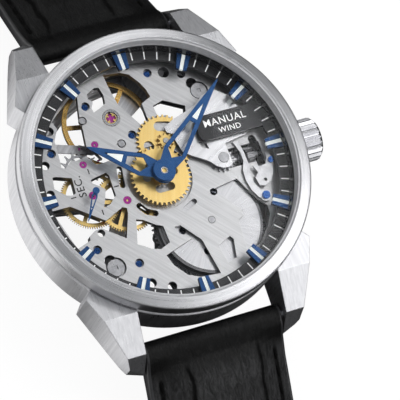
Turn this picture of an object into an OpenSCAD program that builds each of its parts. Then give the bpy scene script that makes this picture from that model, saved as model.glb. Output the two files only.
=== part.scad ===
// Wristwatch with an open-worked hand-wound movement on a leather strap.
// Origin: table plane under the centre of the case. +X points to the crown,
// +Y to the twelve o'clock lugs, +Z out of the dial. Lengths in mm.
// Head sizes (case, dial, movement) are drawn for a 43 mm case and scaled with case_d.

/* [Head] */
// Case diameter without the crown; the whole head scales with it
case_d = 43; // [34:0.5:52]
// Gap between the lugs (strap width at the case)
lug_w = 22; // [16:0.5:24]
// Crown diameter
crown_d = 6.5; // [5:0.1:8]
// Crown length
crown_l = 3.8; // [2:0.1:5]
// Number of crown flutes
crown_flutes = 22; // [12:1:36]
// How far the crown stands off the case side
crown_gap = 0.5; // [0.4:0.1:1.5]

/* [Hands and indexes, for a 43 mm case] */
// Minute hand length from the centre
minute_l = 17.2; // [12:0.1:18]
// Hour hand length from the centre
hour_l = 11.6; // [8:0.1:14]
// Seconds hand length from its own axis
seconds_l = 4.9; // [3:0.1:6]
// Minutes after ten o'clock shown by the hands
shown_min = 8.1; // [0:0.1:59]
// Width over one applied index
index_w = 2.1; // [1:0.02:2.4]

/* [Strap] */
// Length of the buckle half, spring bar to buckle bar
strap_short = 76; // [60:1:95]
// Length of the holed half, spring bar to tip
strap_long = 118; // [95:1:140]
// Strap width at the buckle
strap_end_w = 20; // [14:0.5:22]
// Strap thickness beside the lugs
strap_t0 = 4.2; // [3:0.1:6]
// Strap thickness at the tip
strap_t1 = 2.6; // [1.8:0.1:3.6]
// Angle at which the strap leaves the lugs
droop = 30; // [10:1:40]
// Number of buckle holes
holes = 7; // [4:1:9]
// Hole spacing
hole_pitch = 6.5; // [5:0.1:8]

/* [Buckle] */
// Buckle wire and frame height
buckle_h = 2.2; // [1.6:0.1:3]
// Width of the free and fixed keeper bands
keeper_w = 5.5; // [3:0.1:8]

/* [Hidden] */
hs = case_d / 43;
eps = 0.01;
bar_y = 23.6 * hs;
loop_r = 1.6;
rise = 14;
bend_r = 22;
bar_z = loop_r * cos(droop) + rise * sin(droop) + bend_r * (1 - cos(droop));
dial_z = bar_z + 4.9 * hs;
stem_z = -3.2;
gap_w = lug_w / hs;
end_up = 3;
sec = [-10.4, 0];
third = [-5.8, -2];
esc = [-10.2, 4.8];
pal = [-7.5, 7.25];
bal = [-3.7, 10.55];
bar_c = [5.2, -8.15];
mwh = [2.6, 4.84];
inter = [7.9, 2.66];
setw = [9.95, 0.05];
crw = [10.4, 0];
minute_a = 90 - shown_min * 6;
hour_a = 90 - 300 - shown_min / 2;
seconds_a = 90 - 213;
steel = "Silver";
gold = "Goldenrod";
blue = "SteelBlue";
ruby = "MediumVioletRed";
$fn = 64;

// ---------- helpers ----------
module head() {
    translate([0, 0, dial_z])
        scale(hs)
            children();
}

// Extrude from height a up to height b.
module lift(a, b) {
    translate([0, 0, a])
        linear_extrude(height = b - a)
            children();
}

module at(p) {
    translate([p[0], p[1], 0])
        children();
}

// Straight bar with round ends.
module cap(p, q, w) {
    a = atan2(q[1] - p[1], q[0] - p[0]);
    polygon([for (e = [[p, a + 90], [q, a - 90]])
        for (k = [0 : 10])
            e[0] + w / 2 * [cos(e[1] + 18 * k), sin(e[1] + 18 * k)]]);
}

// Tube between two heights.
module ring(ro, ri, a, b) {
    lift(a, b)
        difference() {
            circle(ro, $fn = 96);
            circle(ri, $fn = 96);
        }
}

module rod(p, r, a, b) {
    translate([p[0], p[1], a])
        cylinder(r = r, h = b - a);
}

// Toothed outline: n teeth, pitch radius rp, ph = angle of one tooth.
module gear(n, rp, ph, add = 0.17, ded = 0.24) {
    p = 360 / n;
    ro = rp + add;
    rr = rp - ded;
    pts = [for (k = [0 : n - 1])
        for (q = [[rr, -0.27], [ro, -0.11], [ro, 0.11], [rr, 0.27]])
            [q[0] * cos(ph + p * (k + q[1])), q[0] * sin(ph + p * (k + q[1]))]];
    polygon(pts);
}

// Phase of gear b so that it meshes with gear a (centres pa, pb, teeth na, nb, phase pha).
function mesh_ph(pa, pb, na, nb, pha) =
    let (f = atan2(pb[1] - pa[1], pb[0] - pa[0]))
    let (u = (f - pha) * na / 360)
    f + 180 - (0.5 - u) * 360 / nb;

// Wheel: toothed rim with spokes and a hub, bore cut by the caller.
module wheel2(n, rp, ph, rim, spokes, hub, add = 0.17, ded = 0.24) {
    difference() {
        gear(n, rp, ph, add, ded);
        circle(rp - ded - rim);
    }
    circle(hub);
    for (k = [0 : spokes - 1])
        rotate(k * 360 / spokes + 20)
            translate([0, -hub * 0.32])
                square([rp - ded - rim / 2, hub * 0.64]);
}

module screw_head(p, r, top, h) {
    difference() {
        rod(p, r, top - h, top);
        translate([p[0] - r - 1, p[1] - r * 0.13, top - h * 0.45])
            cube([2 * r + 2, r * 0.26, h]);
    }
}

ph_centre = 3;
ph_third_p = mesh_ph([0, 0], third, 80, 10, ph_centre);
ph_third = 1.2;
ph_fourth_p = mesh_ph(third, sec, 75, 10, ph_third);
ph_fourth = 2;
ph_esc_p = mesh_ph(sec, esc, 80, 8, ph_fourth);
ph_cpin = 5;
ph_barrel = mesh_ph([0, 0], bar_c, 12, 78, ph_cpin);
ph_cannon = 8;
ph_minute = mesh_ph([0, 0], mwh, 12, 36, ph_cannon);
ph_mpin = 4;
ph_hour = mesh_ph(mwh, [0, 0], 10, 40, ph_mpin);
ph_inter = mesh_ph(mwh, inter, 36, 14, ph_minute);
ph_set = mesh_ph(inter, setw, 14, 15, ph_inter);

// ---------- case ----------
module lug_top() {
    polygon([[gap_w / 2, 14], [gap_w / 2, 26.2], [gap_w / 2 + 2.4, 25.3], [gap_w / 2 + 3.77, 22],
        [gap_w / 2 + 6.5, 15], [gap_w / 2 + 5.5, 13.8], [gap_w / 2 + 3, 12]]);
}

module lug_side() {
    polygon([[12, 0.5], [18.7, 0.45], [24.2, -2.3], [26.3, -6.6], [24, -7.1], [15, -6.1],
        [12, -6.1]]);
}

module lug() {
    intersection() {
        lift(-8, 1)
            lug_top();
        rotate([90, 0, 90])
            linear_extrude(height = 30)
                lug_side();
    }
}

module case_body() {
    color(steel)
        head()
            difference() {
                union() {
                    rotate_extrude($fn = 96)
                        polygon([[18.75, -5.9], [21.1, -5.9], [21.5, -5.5], [21.5, 0.1], [21.3, 0.3],
                            [19.35, 0.3], [19.35, -0.55], [18.75, -0.55]]);
                    difference() {
                        for (sx = [-1, 1])
                            for (sy = [-1, 1])
                                scale([sx, sy, 1])
                                    lug();
                        translate([0, 0, -9])
                            cylinder(r = 20.5, h = 11, $fn = 96);
                        translate([0, 0, -9])
                            cylinder(r = 20.75, h = 3.1, $fn = 96);
                        translate([0, 0, 0.3])
                            cylinder(r = 21.5, h = 2, $fn = 96);
                    }
                }
                for (s = [-1, 1])
                    translate([-gap_w / 2 - 1.3, s * 23.6, -4.9])
                        rotate([0, 90, 0])
                            cylinder(r = 0.5, h = gap_w + 2.6, $fn = 32);
                translate([0, 0, stem_z])
                    rotate([0, 90, 0])
                        cylinder(r = 1.25, h = 23, $fn = 48);
            }
}

module bezel() {
    color(steel)
        head()
            rotate_extrude($fn = 96)
                polygon([[19.25, 0.32], [20.9, 0.32], [20.9, 0.55], [21.4, 0.75], [21.4, 2.85],
                    [21.25, 3.02], [19.8, 3.5], [19.62, 3.4], [19.62, 1.7], [19.25, 1.7]]);
}

module front_crystal() {
    color("LightCyan", 0.3)
        head()
            rotate_extrude($fn = 96)
                polygon([[0, 1.75], [19.3, 1.75], [19.3, 3.45], [19.15, 3.6], [0, 3.6]]);
}

module crystal_gaskets() {
    color("WhiteSmoke")
        head() {
            ring(19.6, 19.32, 1.75, 3.35);
            ring(16.88, 16.62, -7.98, -6.9);
        }
}

module flange_ring() {
    color("DimGray")
        head()
            rotate_extrude($fn = 96)
                polygon([[19.0, 0.02], [19.2, 0.02], [19.2, 1.68], [19.1, 1.68]]);
}

module dial_ring() {
    color("DimGray")
        head()
            lift(-0.5, 0) {
                difference() {
                    union() {
                        circle(19.2, $fn = 96);
                        intersection() {
                            circle(18, $fn = 96);
                            translate([8.2, 3.8])
                                square([12, 2.2]);
                        }
                    }
                    circle(17.5, $fn = 96);
                }
                intersection() {
                    circle(17.6, $fn = 96);
                    union() {
                        cap([8.3, 3.8], [18, 3.8], 1.6);
                        cap([8.3, 6], [18, 6], 1.6);
                        translate([7.5, 3.8])
                            square([11, 2.2]);
                    }
                }
            }
}

module hour_indexes() {
    color(blue)
        head()
            for (k = [0 : 11])
                rotate(k * 30)
                    for (s = [-1, 1])
                        lift(0.01, 0.6)
                            polygon([[16.45, s * 0.28], [18.9, s * 0.28], [18.9, s * index_w / 2],
                                [16.45, s * index_w * 0.37]]);
}

module index_lume() {
    color("White")
        head()
            for (k = [0 : 11])
                rotate(k * 30)
                    translate([16.5, -0.27, 0.01])
                        cube([2.4, 0.54, 0.48]);
}

module case_back() {
    color(steel)
        head()
            difference() {
                rotate_extrude($fn = 96)
                    polygon([[16.2, -8.3], [19.4, -8.3], [20.6, -7.2], [20.6, -5.95], [18.7, -5.95],
                        [18.7, -5.0], [18.35, -5.0], [18.35, -6.6], [16.9, -6.6], [16.9, -8.0],
                        [16.2, -8.0]]);
                for (k = [0 : 5])
                    rotate(k * 60 + 30)
                        translate([18.4, -1, -9])
                            cube([3, 2, 1.2]);
            }
}

module back_crystal() {
    color("LightCyan", 0.3)
        head()
            lift(-7.98, -6.9)
                circle(16.6, $fn = 96);
}

module spring_bars() {
    color(steel)
        for (s = [-1, 1])
            translate([0, s * bar_y, bar_z])
                rotate([0, 90, 0]) {
                    cylinder(r = 0.9, h = lug_w - 0.4, center = true, $fn = 32);
                    cylinder(r = 0.45 * hs, h = lug_w + 2.2 * hs, center = true, $fn = 32);
                }
}

// ---------- crown and stem ----------
module on_stem(x) {
    translate([x, 0, stem_z])
        rotate([0, 90, 0])
            children();
}

crown_x = 21.5 + crown_gap;
crown_r = crown_d / 2 / hs;
crown_len = crown_l / hs;

module crown() {
    color(steel)
        head()
            difference() {
                on_stem(crown_x)
                    rotate_extrude($fn = 96)
                        polygon([[0, 0.4], [1.9, 0.4], [1.9, 0], [crown_r - 0.3, 0],
                            [crown_r, 0.3], [crown_r, crown_len - 0.7],
                            [crown_r - 0.5, crown_len - 0.2], [crown_r - 1.2, crown_len],
                            [0, crown_len]]);
                on_stem(crown_x - 1)
                    for (k = [0 : crown_flutes - 1])
                        rotate(k * 360 / crown_flutes)
                            translate([crown_r, 0, 0])
                                rotate(45)
                                    cube([0.56, 0.56, crown_len * 2 + 3], center = true);
            }
}

module stem() {
    color(steel)
        head()
            on_stem(10.9) {
                cylinder(r = 0.45, h = crown_x + 0.39 - 10.9, $fn = 32);
                translate([0, 0, 8])
                    cylinder(r = 0.7, h = crown_x + 0.39 - 18.9, $fn = 32);
            }
}

module crown_tube() {
    color(steel)
        head()
            on_stem(18.9)
                difference() {
                    cylinder(r = 1.22, h = 2.9, $fn = 48);
                    translate([0, 0, -1])
                        cylinder(r = 0.75, h = 5, $fn = 48);
                }
}

module keyless_pinions() {
    color(steel)
        head()
            difference() {
                union() {
                    on_stem(14.2) {
                        linear_extrude(height = 1.1)
                            gear(18, 1.15, 0, 0.12, 0.16);
                        cylinder(r = 0.75, h = 1.7, $fn = 48);
                    }
                    on_stem(11.3) {
                        linear_extrude(height = 0.7)
                            gear(16, 1.15, 0, 0.12, 0.16);
                        cylinder(r = 0.75, h = 2.2, $fn = 48);
                        translate([0, 0, 1.5])
                            cylinder(r = 1.1, h = 0.9, $fn = 48);
                    }
                }
                on_stem(11)
                    cylinder(r = 0.49, h = 6, $fn = 48);
            }
}

// ---------- movement plates ----------
module plate_windows() {
    // balance well left of the finger
    polygon([[-13.4, 5.2], [-12.9, 4.9], [-11.6, 5.9], [-11.2, 5.6], [-9.3, 5.9], [-8.3, 4.2],
        [-6.2, 4.4], [-5.4, 5.3], [-8.8, 7.2], [-8.4, 9.8], [-8.2, 12], [-7.4, 15.3],
        [-7.1, 16.1], [-10.4, 13.8], [-12.4, 12.2], [-12, 11], [-13, 9.3], [-13.2, 6.8]]);
    // balance well right of the finger
    polygon([[-2.6, 17.2], [-2.5, 15.9], [-2.3, 14], [-2, 12.2], [-0.6, 9.8], [0.2, 8.4],
        [1.5, 8.9], [1.5, 11.5], [3.1, 12.2], [2.9, 13.4], [2.3, 14.7], [1.2, 16.3],
        [0, 16.9]]);
    // window in the finger
    polygon([[-5.9, 14.9], [-4.6, 15.6], [-3.9, 15.5], [-3.6, 14.2], [-3.8, 12.9], [-4.8, 12.4],
        [-5.9, 12], [-6, 12.7], [-5.5, 13.5], [-6, 14.3]]);
    // right of the minute wheel
    polygon([[3, 10.7], [4.7, 11.2], [7.7, 9.5], [7.4, 8.6], [5.2, 8], [4.4, 8.9], [3.1, 8.9]]);
    // left foot window over the fourth wheel
    polygon([[-15.2, 4.1], [-14.7, 4.1], [-12.5, 3.3], [-12.7, 1], [-13.3, 0.8], [-14.1, 1],
        [-15.5, 2.4]]);
    // window beside the seconds axis
    polygon([[-9.9, 2.3], [-9.6, 2.4], [-7.4, 2.8], [-7.1, 2.3], [-7.2, -0.9], [-8.4, -1.9],
        [-9.5, -2.2], [-8.8, -0.8], [-8.3, 0.4], [-9, 1.1], [-9.9, 1.8]]);
    // wide window over the third and fourth wheels
    polygon([[-17, -0.7], [-14.2, -0.7], [-9.9, -4.1], [-6.9, -2.8], [-6.3, -3.1],
        [-6.4, -3.9], [-7.9, -7.4], [-8.9, -6.6], [-10.9, -5], [-12, -5.1], [-13, -5.7],
        [-13.1, -6.3], [-15.3, -7]]);
    // window over the barrel teeth
    polygon([[-5.6, -5.1], [-4.7, -5.4], [-3, -6.7], [-2.1, -7.1], [-2, -9.7], [-3.6, -10.3],
        [-4.9, -9.9], [-6, -9.1], [-6.7, -8.7], [-5.9, -6.2]]);
    // lower barrel window
    polygon([[-0.5, -8.6], [-0.5, -7.7], [0.4, -7.7], [2.7, -10.6], [3.1, -13], [3.6, -16.1],
        [0.5, -15.8], [-1.2, -15], [-2.6, -13.2], [-3.2, -11.4], [-2.3, -11.1], [1.5, -10]]);
    // right barrel window
    polygon([[6.6, -3.9], [11.1, -3.2], [12.9, -6.9], [14.1, -8.3], [14, -9.7], [12.9, -11.4], [10.9, -13.5],
        [8.6, -14.4], [9.1, -9.2], [10.1, -8.8], [10.1, -7.6], [9.3, -7], [8, -5]]);
    // small barrel window
    polygon([[4.8, -12.1], [6.9, -11.2], [7.3, -11.8], [6.7, -14.5], [5.2, -14.9]]);
    // slot over the clutch and winding pinion
    translate([11.2, -1.45])
        square([5.2, 2.9]);
    cap([15.6, -2], [15.6, 2], 1.2);
    // slender slots
    cap([-5.7, 0.3], [-5.3, 2.8], 0.8);
    cap([-4.4, -3.3], [-3.7, -4.4], 0.9);
    cap([-3.7, -4.4], [-2.5, -5], 0.9);
    cap([2, -5.6], [3.7, -4.8], 0.8);
    // round holes
    for (q = [[6.4, 15.3, 0.85], [8.9, 14.4, 0.65], [9.9, 12.6, 0.85], [-13.3, 10.9, 0.7],
        [-15.6, 6.1, 0.65], [-16.3, 1.8, 0.6], [-11.2, -5.7, 0.55], [-11.4, -10, 0.9],
        [-6.7, -14.7, 0.7], [-4, -16, 0.7], [7, -4.2, 0.55]])
        translate([q[0], q[1]])
            circle(q[2], $fn = 32);
}

module main_plate() {
    color(steel)
        head()
            difference() {
                union() {
                    lift(-3.2, -1.8)
                        difference() {
                            circle(18.3, $fn = 96);
                            plate_windows();
                        }
                    ring(18.3, 17.3, -4.98, -3.1);
                    lift(-4.98, -3.1)
                        intersection() {
                            circle(18.3, $fn = 96);
                            union() {
                                cap([14.6, 8.2], [17, 5.5], 1.6);
                                cap([-13.3, -9.8], [-12.2, -12.2], 1.6);
                                cap([4.2, 15.6], [6, 16], 2);
                            }
                        }
                    rod(mwh, 0.4, -1.8, -0.8);
                    rod(inter, 0.45, -1.8, -1.4);
                    rod(setw, 0.5, -1.8, -1.4);
                }
                // recess for the hour wheel and the cannon pinion
                rod([0, 0], 4.9, -2.2, -1);
                // recess and windows seen from the barrel side
                rod(bar_c, 8.9, -5.1, -2.3);
                rod(third, 4.9, -3.4, -2.55);
                rod(bal, 8.1, -3.4, -2.7);
                rod(bal, 6.95, -5.1, -3.1);
                rod(sec, 1, -3.4, -2.55);
                // axis holes, jewels sit in them
                for (q = [[0, 0, 0.8], [bar_c[0], bar_c[1], 0.55], [third[0], third[1], 0.62],
                    [sec[0], sec[1], 0.62], [esc[0], esc[1], 0.55], [pal[0], pal[1], 0.55],
                    [bal[0], bal[1], 1.35]])
                    rod([q[0], q[1]], q[2], -4, -1);
                // steady pin and clamp screw recesses
                rod([-8, 11.2], 0.66, -2.4, -1);
                rod([-3.6, 6.4], 0.66, -2.4, -1);
                rod([-10.9, -11.1], 1.5, -2.4, -1);
                rod([10.6, 11.3], 1.4, -2.4, -1);
                // sunk screws
                for (q = [[-6.8, 13.2], [-14.1, 7.6], [-12.6, -7.9], [-7.4, -11.4], [-1.6, 7.3],
                    [4, 15.8]])
                    rod(q, 0.66, -2.5, -1);
                on_stem(10)
                    cylinder(r = 0.8, h = 10, $fn = 48);
            }
}

module movement_ring() {
    color("DimGray")
        head()
            difference() {
                ring(18.7, 18.35, -4.9, -0.56);
                on_stem(17)
                    cylinder(r = 1.3, h = 3, $fn = 48);
            }
}

module keyless_cover() {
    color(steel)
        head()
            translate([-0.3, -0.25, 0]) {
                lift(-1.35, -0.95)
                    difference() {
                        polygon([[3.4, 7.1], [3.5, 6.3], [4.4, 5.7], [4.3, 4.8], [4.7, 2.9], [5.7, 2],
                            [7.1, 1.1], [8.2, 0.3], [8.9, -0.6], [9.8, -1.15], [10.8, -1.2],
                            [11.4, -0.8], [11.4, 2.4], [15, 3], [16.7, 4], [16.6, 6], [14.9, 8],
                            [14.6, 9.4], [12.5, 11], [10.5, 10.3], [9, 9.2], [7.6, 8.7], [5.2, 8]]);
                        difference() {
                            translate([7.4, 2.3])
                                circle(1.35, $fn = 48);
                            translate([7.4, 2.3])
                                circle(1.1, $fn = 48);
                            translate([4, -1])
                                square([3.6, 6]);
                            translate([6, 0])
                                square([4, 2.3]);
                        }
                        at(inter + [0.3, 0.25])
                            circle(0.5, $fn = 32);
                        translate([10.4, 0.4])
                            circle(0.82, $fn = 32);
                    }
                lift(-1.79, -1.35) {
                    cap([11.2, 6.6], [14.6, 6.2], 2.4);
                    cap([10.8, 9.2], [13.2, 9.2], 1.6);
                }
            }
}

module yoke() {
    color(steel)
        head()
            lift(-1.7, -1.4)
                difference() {
                    union() {
                        polygon([[12.95, 0.4], [12.95, -1], [12.3, -2.4], [12.2, -4], [12.5, -5.6],
                            [13.2, -7], [14.9, -7.1], [14.9, -6.1], [13.9, -5.9], [13.3, -4.6],
                            [13.2, -3.4], [13.55, -2], [13.5, 0.5], [13.2, 2.2], [12.4, 2.2]]);
                        translate([14.3, -6.9])
                            circle(0.9, $fn = 48);
                    }
                    translate([14.3, -6.9])
                        circle(0.42, $fn = 32);
                }
}

module setting_cover() {
    color(steel)
        head() {
            lift(-1.3, -1.05)
                difference() {
                    polygon([[13.9, -2.2], [15, -2.5], [15.9, -2.4], [16.3, -1.6], [16.4, -0.7],
                        [17.1, -0.7], [17.2, -2.4], [16.6, -3.9], [15.7, -5.1], [14.6, -5.6],
                        [13.8, -5.3], [13.6, -4], [14.3, -3.4]]);
                    translate([15, -4.7])
                        circle(0.25, $fn = 32);
                }
            rod([16, -3.6], 0.5, -1.79, -1.3);
        }
}

module blue_screws() {
    color(blue)
        head() {
            for (q = [[-6.8, 13.2], [-14.1, 7.6], [-12.6, -7.9], [-7.4, -11.4], [-1.6, 7.3],
                [4, 15.8]])
                screw_head(q, 0.48, -2.15, 0.35);
            screw_head([16.85, -2.05], 0.45, -0.75, 0.28);
            screw_head([14.3, -6.9], 0.6, -1.1, 0.28);
            rod([14.3, -6.9], 0.38, -1.78, -1.38);
            // bridge screws on the back
            for (q = [[-16.3, 0.9], [-11.6, -12.6], [3.6, 15.6], [15.4, 6.6], [13.4, -10.6],
                [3.4, -15.9]])
                mirror([0, 0, 1])
                    screw_head(q, 0.75, 5.9, 0.34);
        }
}

module plate_pins() {
    color(steel)
        head() {
            for (q = [[-8, 11.2], [-3.6, 6.4]])
                rod(q, 0.48, -2.38, -1.78);
            rod([10.1, 0.15], 0.76, -1.3, -0.9);
            for (q = [[-10.9, -11.1, 1.25], [10.6, 11.3, 1.2]])
                difference() {
                    rod(q, q[2], -2.38, -1.95);
                    translate([q[0] - 0.3, q[1] - 0.3, -2.1])
                        cube([0.6, 0.6, 1]);
                }
        }
}

module jewel(p, ro, ri, a, b) {
    lift(a, b)
        translate([p[0], p[1]])
            difference() {
                circle(ro, $fn = 32);
                circle(ri, $fn = 32);
            }
}

module jewels() {
    color(ruby)
        head() {
            jewel(third, 0.6, 0.2, -2.5, -1.82);
            jewel(sec, 0.6, 0.26, -2.5, -1.82);
            jewel(esc, 0.53, 0.2, -2.5, -1.82);
            jewel(pal, 0.53, 0.17, -2.5, -1.82);
            jewel(bal, 0.93, 0.15, -2.62, -2.42);
            rod(bal, 0.62, -2.3, -2.1);
            for (q = [third, sec, esc])
                jewel(q, 0.6, 0.2, -5.78, -5.2);
            jewel(bal, 0.93, 0.15, -5.68, -5.48);
            rod(bal, 0.62, -5.88, -5.72);
        }
}

module ring_at(p, ro, ri, a, b) {
    lift(a, b)
        translate([p[0], p[1]])
            difference() {
                circle(ro, $fn = 48);
                circle(ri, $fn = 48);
            }
}

module shock_settings() {
    color(gold)
        head() {
            ring_at(bal, 1.32, 0.95, -2.66, -1.76);
            ring_at(bal, 1.32, 0.95, -5.88, -5.32);
            lift(-2.06, -1.94)
                translate([bal[0], bal[1]])
                    difference() {
                        union() {
                            difference() {
                                circle(0.92, $fn = 48);
                                circle(0.72, $fn = 48);
                            }
                            for (a = [45, 135, 225, 315])
                                rotate(a)
                                    translate([0.4, -0.13])
                                        square([0.4, 0.26]);
                        }
                        translate([-0.15, 0.5])
                            square([0.3, 1]);
                    }
        }
}

// ---------- bridges ----------
module train_bridge() {
    color(steel)
        head()
            difference() {
                lift(-5.8, -5) {
                    cap([0, 0], third, 2.6);
                    cap(third, sec, 2.2);
                    cap(sec, esc, 2.2);
                    cap(sec, [-16.6, 1], 2.6);
                    cap(third, [-11.3, -12.3], 2.6);
                    circle(1.5);
                }
                rod([0, 0], 0.55, -7, -4);
                for (q = [third, sec, esc])
                    rod(q, 0.62, -7, -4);
                rod([-16.3, 0.9], 0.8, -7, -5.5);
                rod([-11.6, -12.6], 0.8, -7, -5.5);
            }
}

module barrel_bridge() {
    color(steel)
        head()
            difference() {
                lift(-5.8, -5)
                    difference() {
                        intersection() {
                            circle(18.2, $fn = 96);
                            polygon([[2.2, 2], [6, 6.4], [12, 9.8], [20, 10.6], [20, -19], [-2, -19],
                                [-3, -14], [-3.4, -9.8], [-1.6, -4.4], [1, -2.6], [2.6, -0.6]]);
                        }
                        for (k = [0 : 2])
                            rotate_about(bar_c, k * 120 + 65)
                                intersection() {
                                    difference() {
                                        circle(5.2);
                                        circle(2.6);
                                    }
                                    polygon([[0, 0], [8, -4], [8, 4]]);
                                }
                        at(bar_c)
                            circle(0.7, $fn = 32);
                        at(crw)
                            circle(4.15);
                        translate([13.9, -1.6])
                            square([2.6, 3.2]);
                    }
                for (q = [[15.4, 6.6], [13.4, -10.6], [3.4, -15.9]])
                    rod(q, 0.8, -7, -5.5);
            }
}

module rotate_about(p, a) {
    translate([p[0], p[1]])
        rotate(a)
            children();
}

module balance_cock() {
    color(steel)
        head()
            difference() {
                union() {
                    lift(-5.9, -5.3)
                        cap(bal, [4, 15.2], 3.4);
                    lift(-5.9, -5)
                        intersection() {
                            circle(18.2, $fn = 96);
                            polygon([[1.6, 13.6], [6.8, 12.6], [9.4, 15], [6, 20], [1, 20]]);
                        }
                    rod([bal[0] + 3.05, bal[1] + 0.4], 0.22, -5.3, -5.17);
                }
                rod(bal, 1.35, -7, -4);
                rod([3.6, 15.6], 0.8, -7, -5.55);
            }
}

module pallet_bridge() {
    color(steel)
        head() {
            difference() {
                lift(-4.3, -4.1) {
                    cap(pal, [-13.4, 9.2], 1.3);
                    translate([pal[0], pal[1]])
                        circle(0.7, $fn = 32);
                }
                rod(pal, 0.17, -5, -4);
            }
            rod([-13.4, 9.2], 0.55, -4.1, -3.22);
        }
}

// ---------- barrel ----------
module barrel_drum() {
    color(steel)
        head()
            difference() {
                union() {
                    rod(bar_c, 7.9, -3.95, -2.47);
                    translate([bar_c[0], bar_c[1], -3.95])
                        linear_extrude(height = 0.35)
                            gear(78, 8.379, ph_barrel);
                }
                rod(bar_c, 7.5, -3.75, -2);
                rod(bar_c, 0.62, -5, -2);
            }
}

module barrel_cover() {
    color(steel)
        head()
            difference() {
                rod(bar_c, 7.47, -2.68, -2.42);
                rod(bar_c, 0.62, -5, -2);
                for (k = [0 : 5])
                    rod([bar_c[0] + 4.63 * cos(k * 60 + 3.4), bar_c[1] + 4.63 * sin(k * 60 + 3.4)],
                        0.55, -5, -2);
            }
}

module mainspring() {
    turns = 6;
    n = 22;
    r0 = 3.4;
    dr = 0.62;
    out = [for (k = [0 : turns * n]) [k * 360 / n, r0 + dr * k / n + 0.09]];
    inn = [for (k = [turns * n : -1 : 0]) [k * 360 / n, r0 + dr * k / n - 0.09]];
    color("SlateGray")
        head()
            translate([bar_c[0], bar_c[1], 0])
                lift(-3.7, -2.75)
                    polygon([for (q = concat(out, inn)) [q[1] * cos(q[0]), q[1] * sin(q[0])]]);
}

module barrel_arbor() {
    color(steel)
        head() {
            rod(bar_c, 0.5, -6.2, -1.78);
            rod(bar_c, 1.5, -3.73, -2.7);
        }
}

module ratchet_wheel() {
    color(steel)
        head()
            difference() {
                translate([bar_c[0], bar_c[1], -6.15])
                    linear_extrude(height = 0.3)
                        gear(56, 5.885, 0, 0.15, 0.2);
                rod(bar_c, 0.51, -7, -5);
            }
}

module crown_wheel() {
    color(steel)
        head()
            difference() {
                union() {
                    translate([crw[0], crw[1], -6.15])
                        linear_extrude(height = 0.3)
                            gear(36, 3.783, mesh_ph(bar_c, crw, 56, 36, 0), 0.15, 0.2);
                    rod(crw, 3.9, -5.9, -4.52);
                }
                rod(crw, 3.2, -5.85, -4);
                rod(crw, 0.6, -7, -4);
            }
}

module click() {
    color(steel)
        head()
            difference() {
                lift(-6.15, -5.85) {
                    translate([-1.9, -7.6])
                        circle(0.9, $fn = 32);
                    polygon([[-2.1, -9.9], [-1, -10.7], [-0.75, -10.3], [-1.3, -8], [-2.5, -7.9]]);
                }
                rod([-1.9, -7.6], 0.35, -7, -5);
            }
}

// ---------- wheel train ----------
module centre_wheel() {
    color(gold)
        head() {
            lift(-4.3, -4.1)
                wheel2(80, 5.453, ph_centre, 0.6, 5, 1.2);
            lift(-4.0, -3.5)
                gear(12, 1.289, ph_cpin, 0.17, 0.22);
            rod([0, 0], 0.7, -4.1, -2.3);
            rod([0, 0], 0.35, -5.75, 0.9);
        }
}

module cannon_pinion() {
    color(steel)
        head()
            difference() {
                union() {
                    lift(-2.1, -1.35)
                        gear(12, 1.375, ph_cannon, 0.17, 0.22);
                    rod([0, 0], 0.7, -1.35, 1.18);
                }
                rod([0, 0], 0.37, -3, 2);
            }
}

module hour_wheel() {
    color(gold)
        head()
            difference() {
                union() {
                    lift(-1.2, -0.95)
                        difference() {
                            gear(40, 4.4, ph_hour, 0.17, 0.24);
                            for (a = [30, 150, 270])
                                rotate(a)
                                    cap([1.9, -0.9], [1.9, 0.9], 1.2);
                        }
                    rod([0, 0], 1.05, -1.25, 0.66);
                }
                rod([0, 0], 0.75, -3, 2);
            }
}

module minute_wheel() {
    color(gold)
        head()
            difference() {
                translate([mwh[0], mwh[1], 0]) {
                    lift(-1.7, -1.45)
                        difference() {
                            gear(36, 4.125, ph_minute, 0.17, 0.24);
                            for (a = [75, 195, 315])
                                rotate(a)
                                    cap([2.45, -0.7], [2.45, 0.7], 1.5);
                        }
                    lift(-1.45, -0.9)
                        gear(10, 1.1, ph_mpin, 0.17, 0.2);
                }
                rod(mwh, 0.45, -3, 2);
            }
}

module intermediate_wheel() {
    color(steel)
        head()
            translate([inter[0], inter[1], 0])
                lift(-1.7, -1.45)
                    difference() {
                        gear(14, 1.604, ph_inter, 0.17, 0.24);
                        circle(0.5, $fn = 32);
                    }
}

module setting_wheel() {
    color(steel)
        head()
            translate([setw[0], setw[1], 0])
                lift(-1.7, -1.45)
                    difference() {
                        gear(15, 1.719, ph_set, 0.17, 0.24);
                        circle(0.55, $fn = 32);
                    }
}

module third_wheel() {
    color(gold)
        head() {
            translate([third[0], third[1], 0]) {
                lift(-3, -2.75)
                    wheel2(75, 4.426, ph_third, 0.5, 5, 0.9, 0.13, 0.18);
                lift(-4.4, -3.95)
                    gear(10, 0.682, ph_third_p, 0.15, 0.16);
            }
            rod(third, 0.28, -4.95, -2.6);
            rod(third, 0.15, -5.75, -1.9);
        }
}

module fourth_wheel() {
    color(gold)
        head() {
            translate([sec[0], sec[1], 0]) {
                lift(-3.55, -3.3)
                    wheel2(80, 4.367, ph_fourth, 0.5, 5, 0.9, 0.12, 0.18);
                lift(-3.1, -2.7)
                    gear(10, 0.59, ph_fourth_p, 0.13, 0.15);
            }
            rod(sec, 0.28, -4.95, -2.7);
            rod(sec, 0.15, -5.75, -4.95);
            rod(sec, 0.2, -2.7, 0.12);
        }
}

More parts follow.
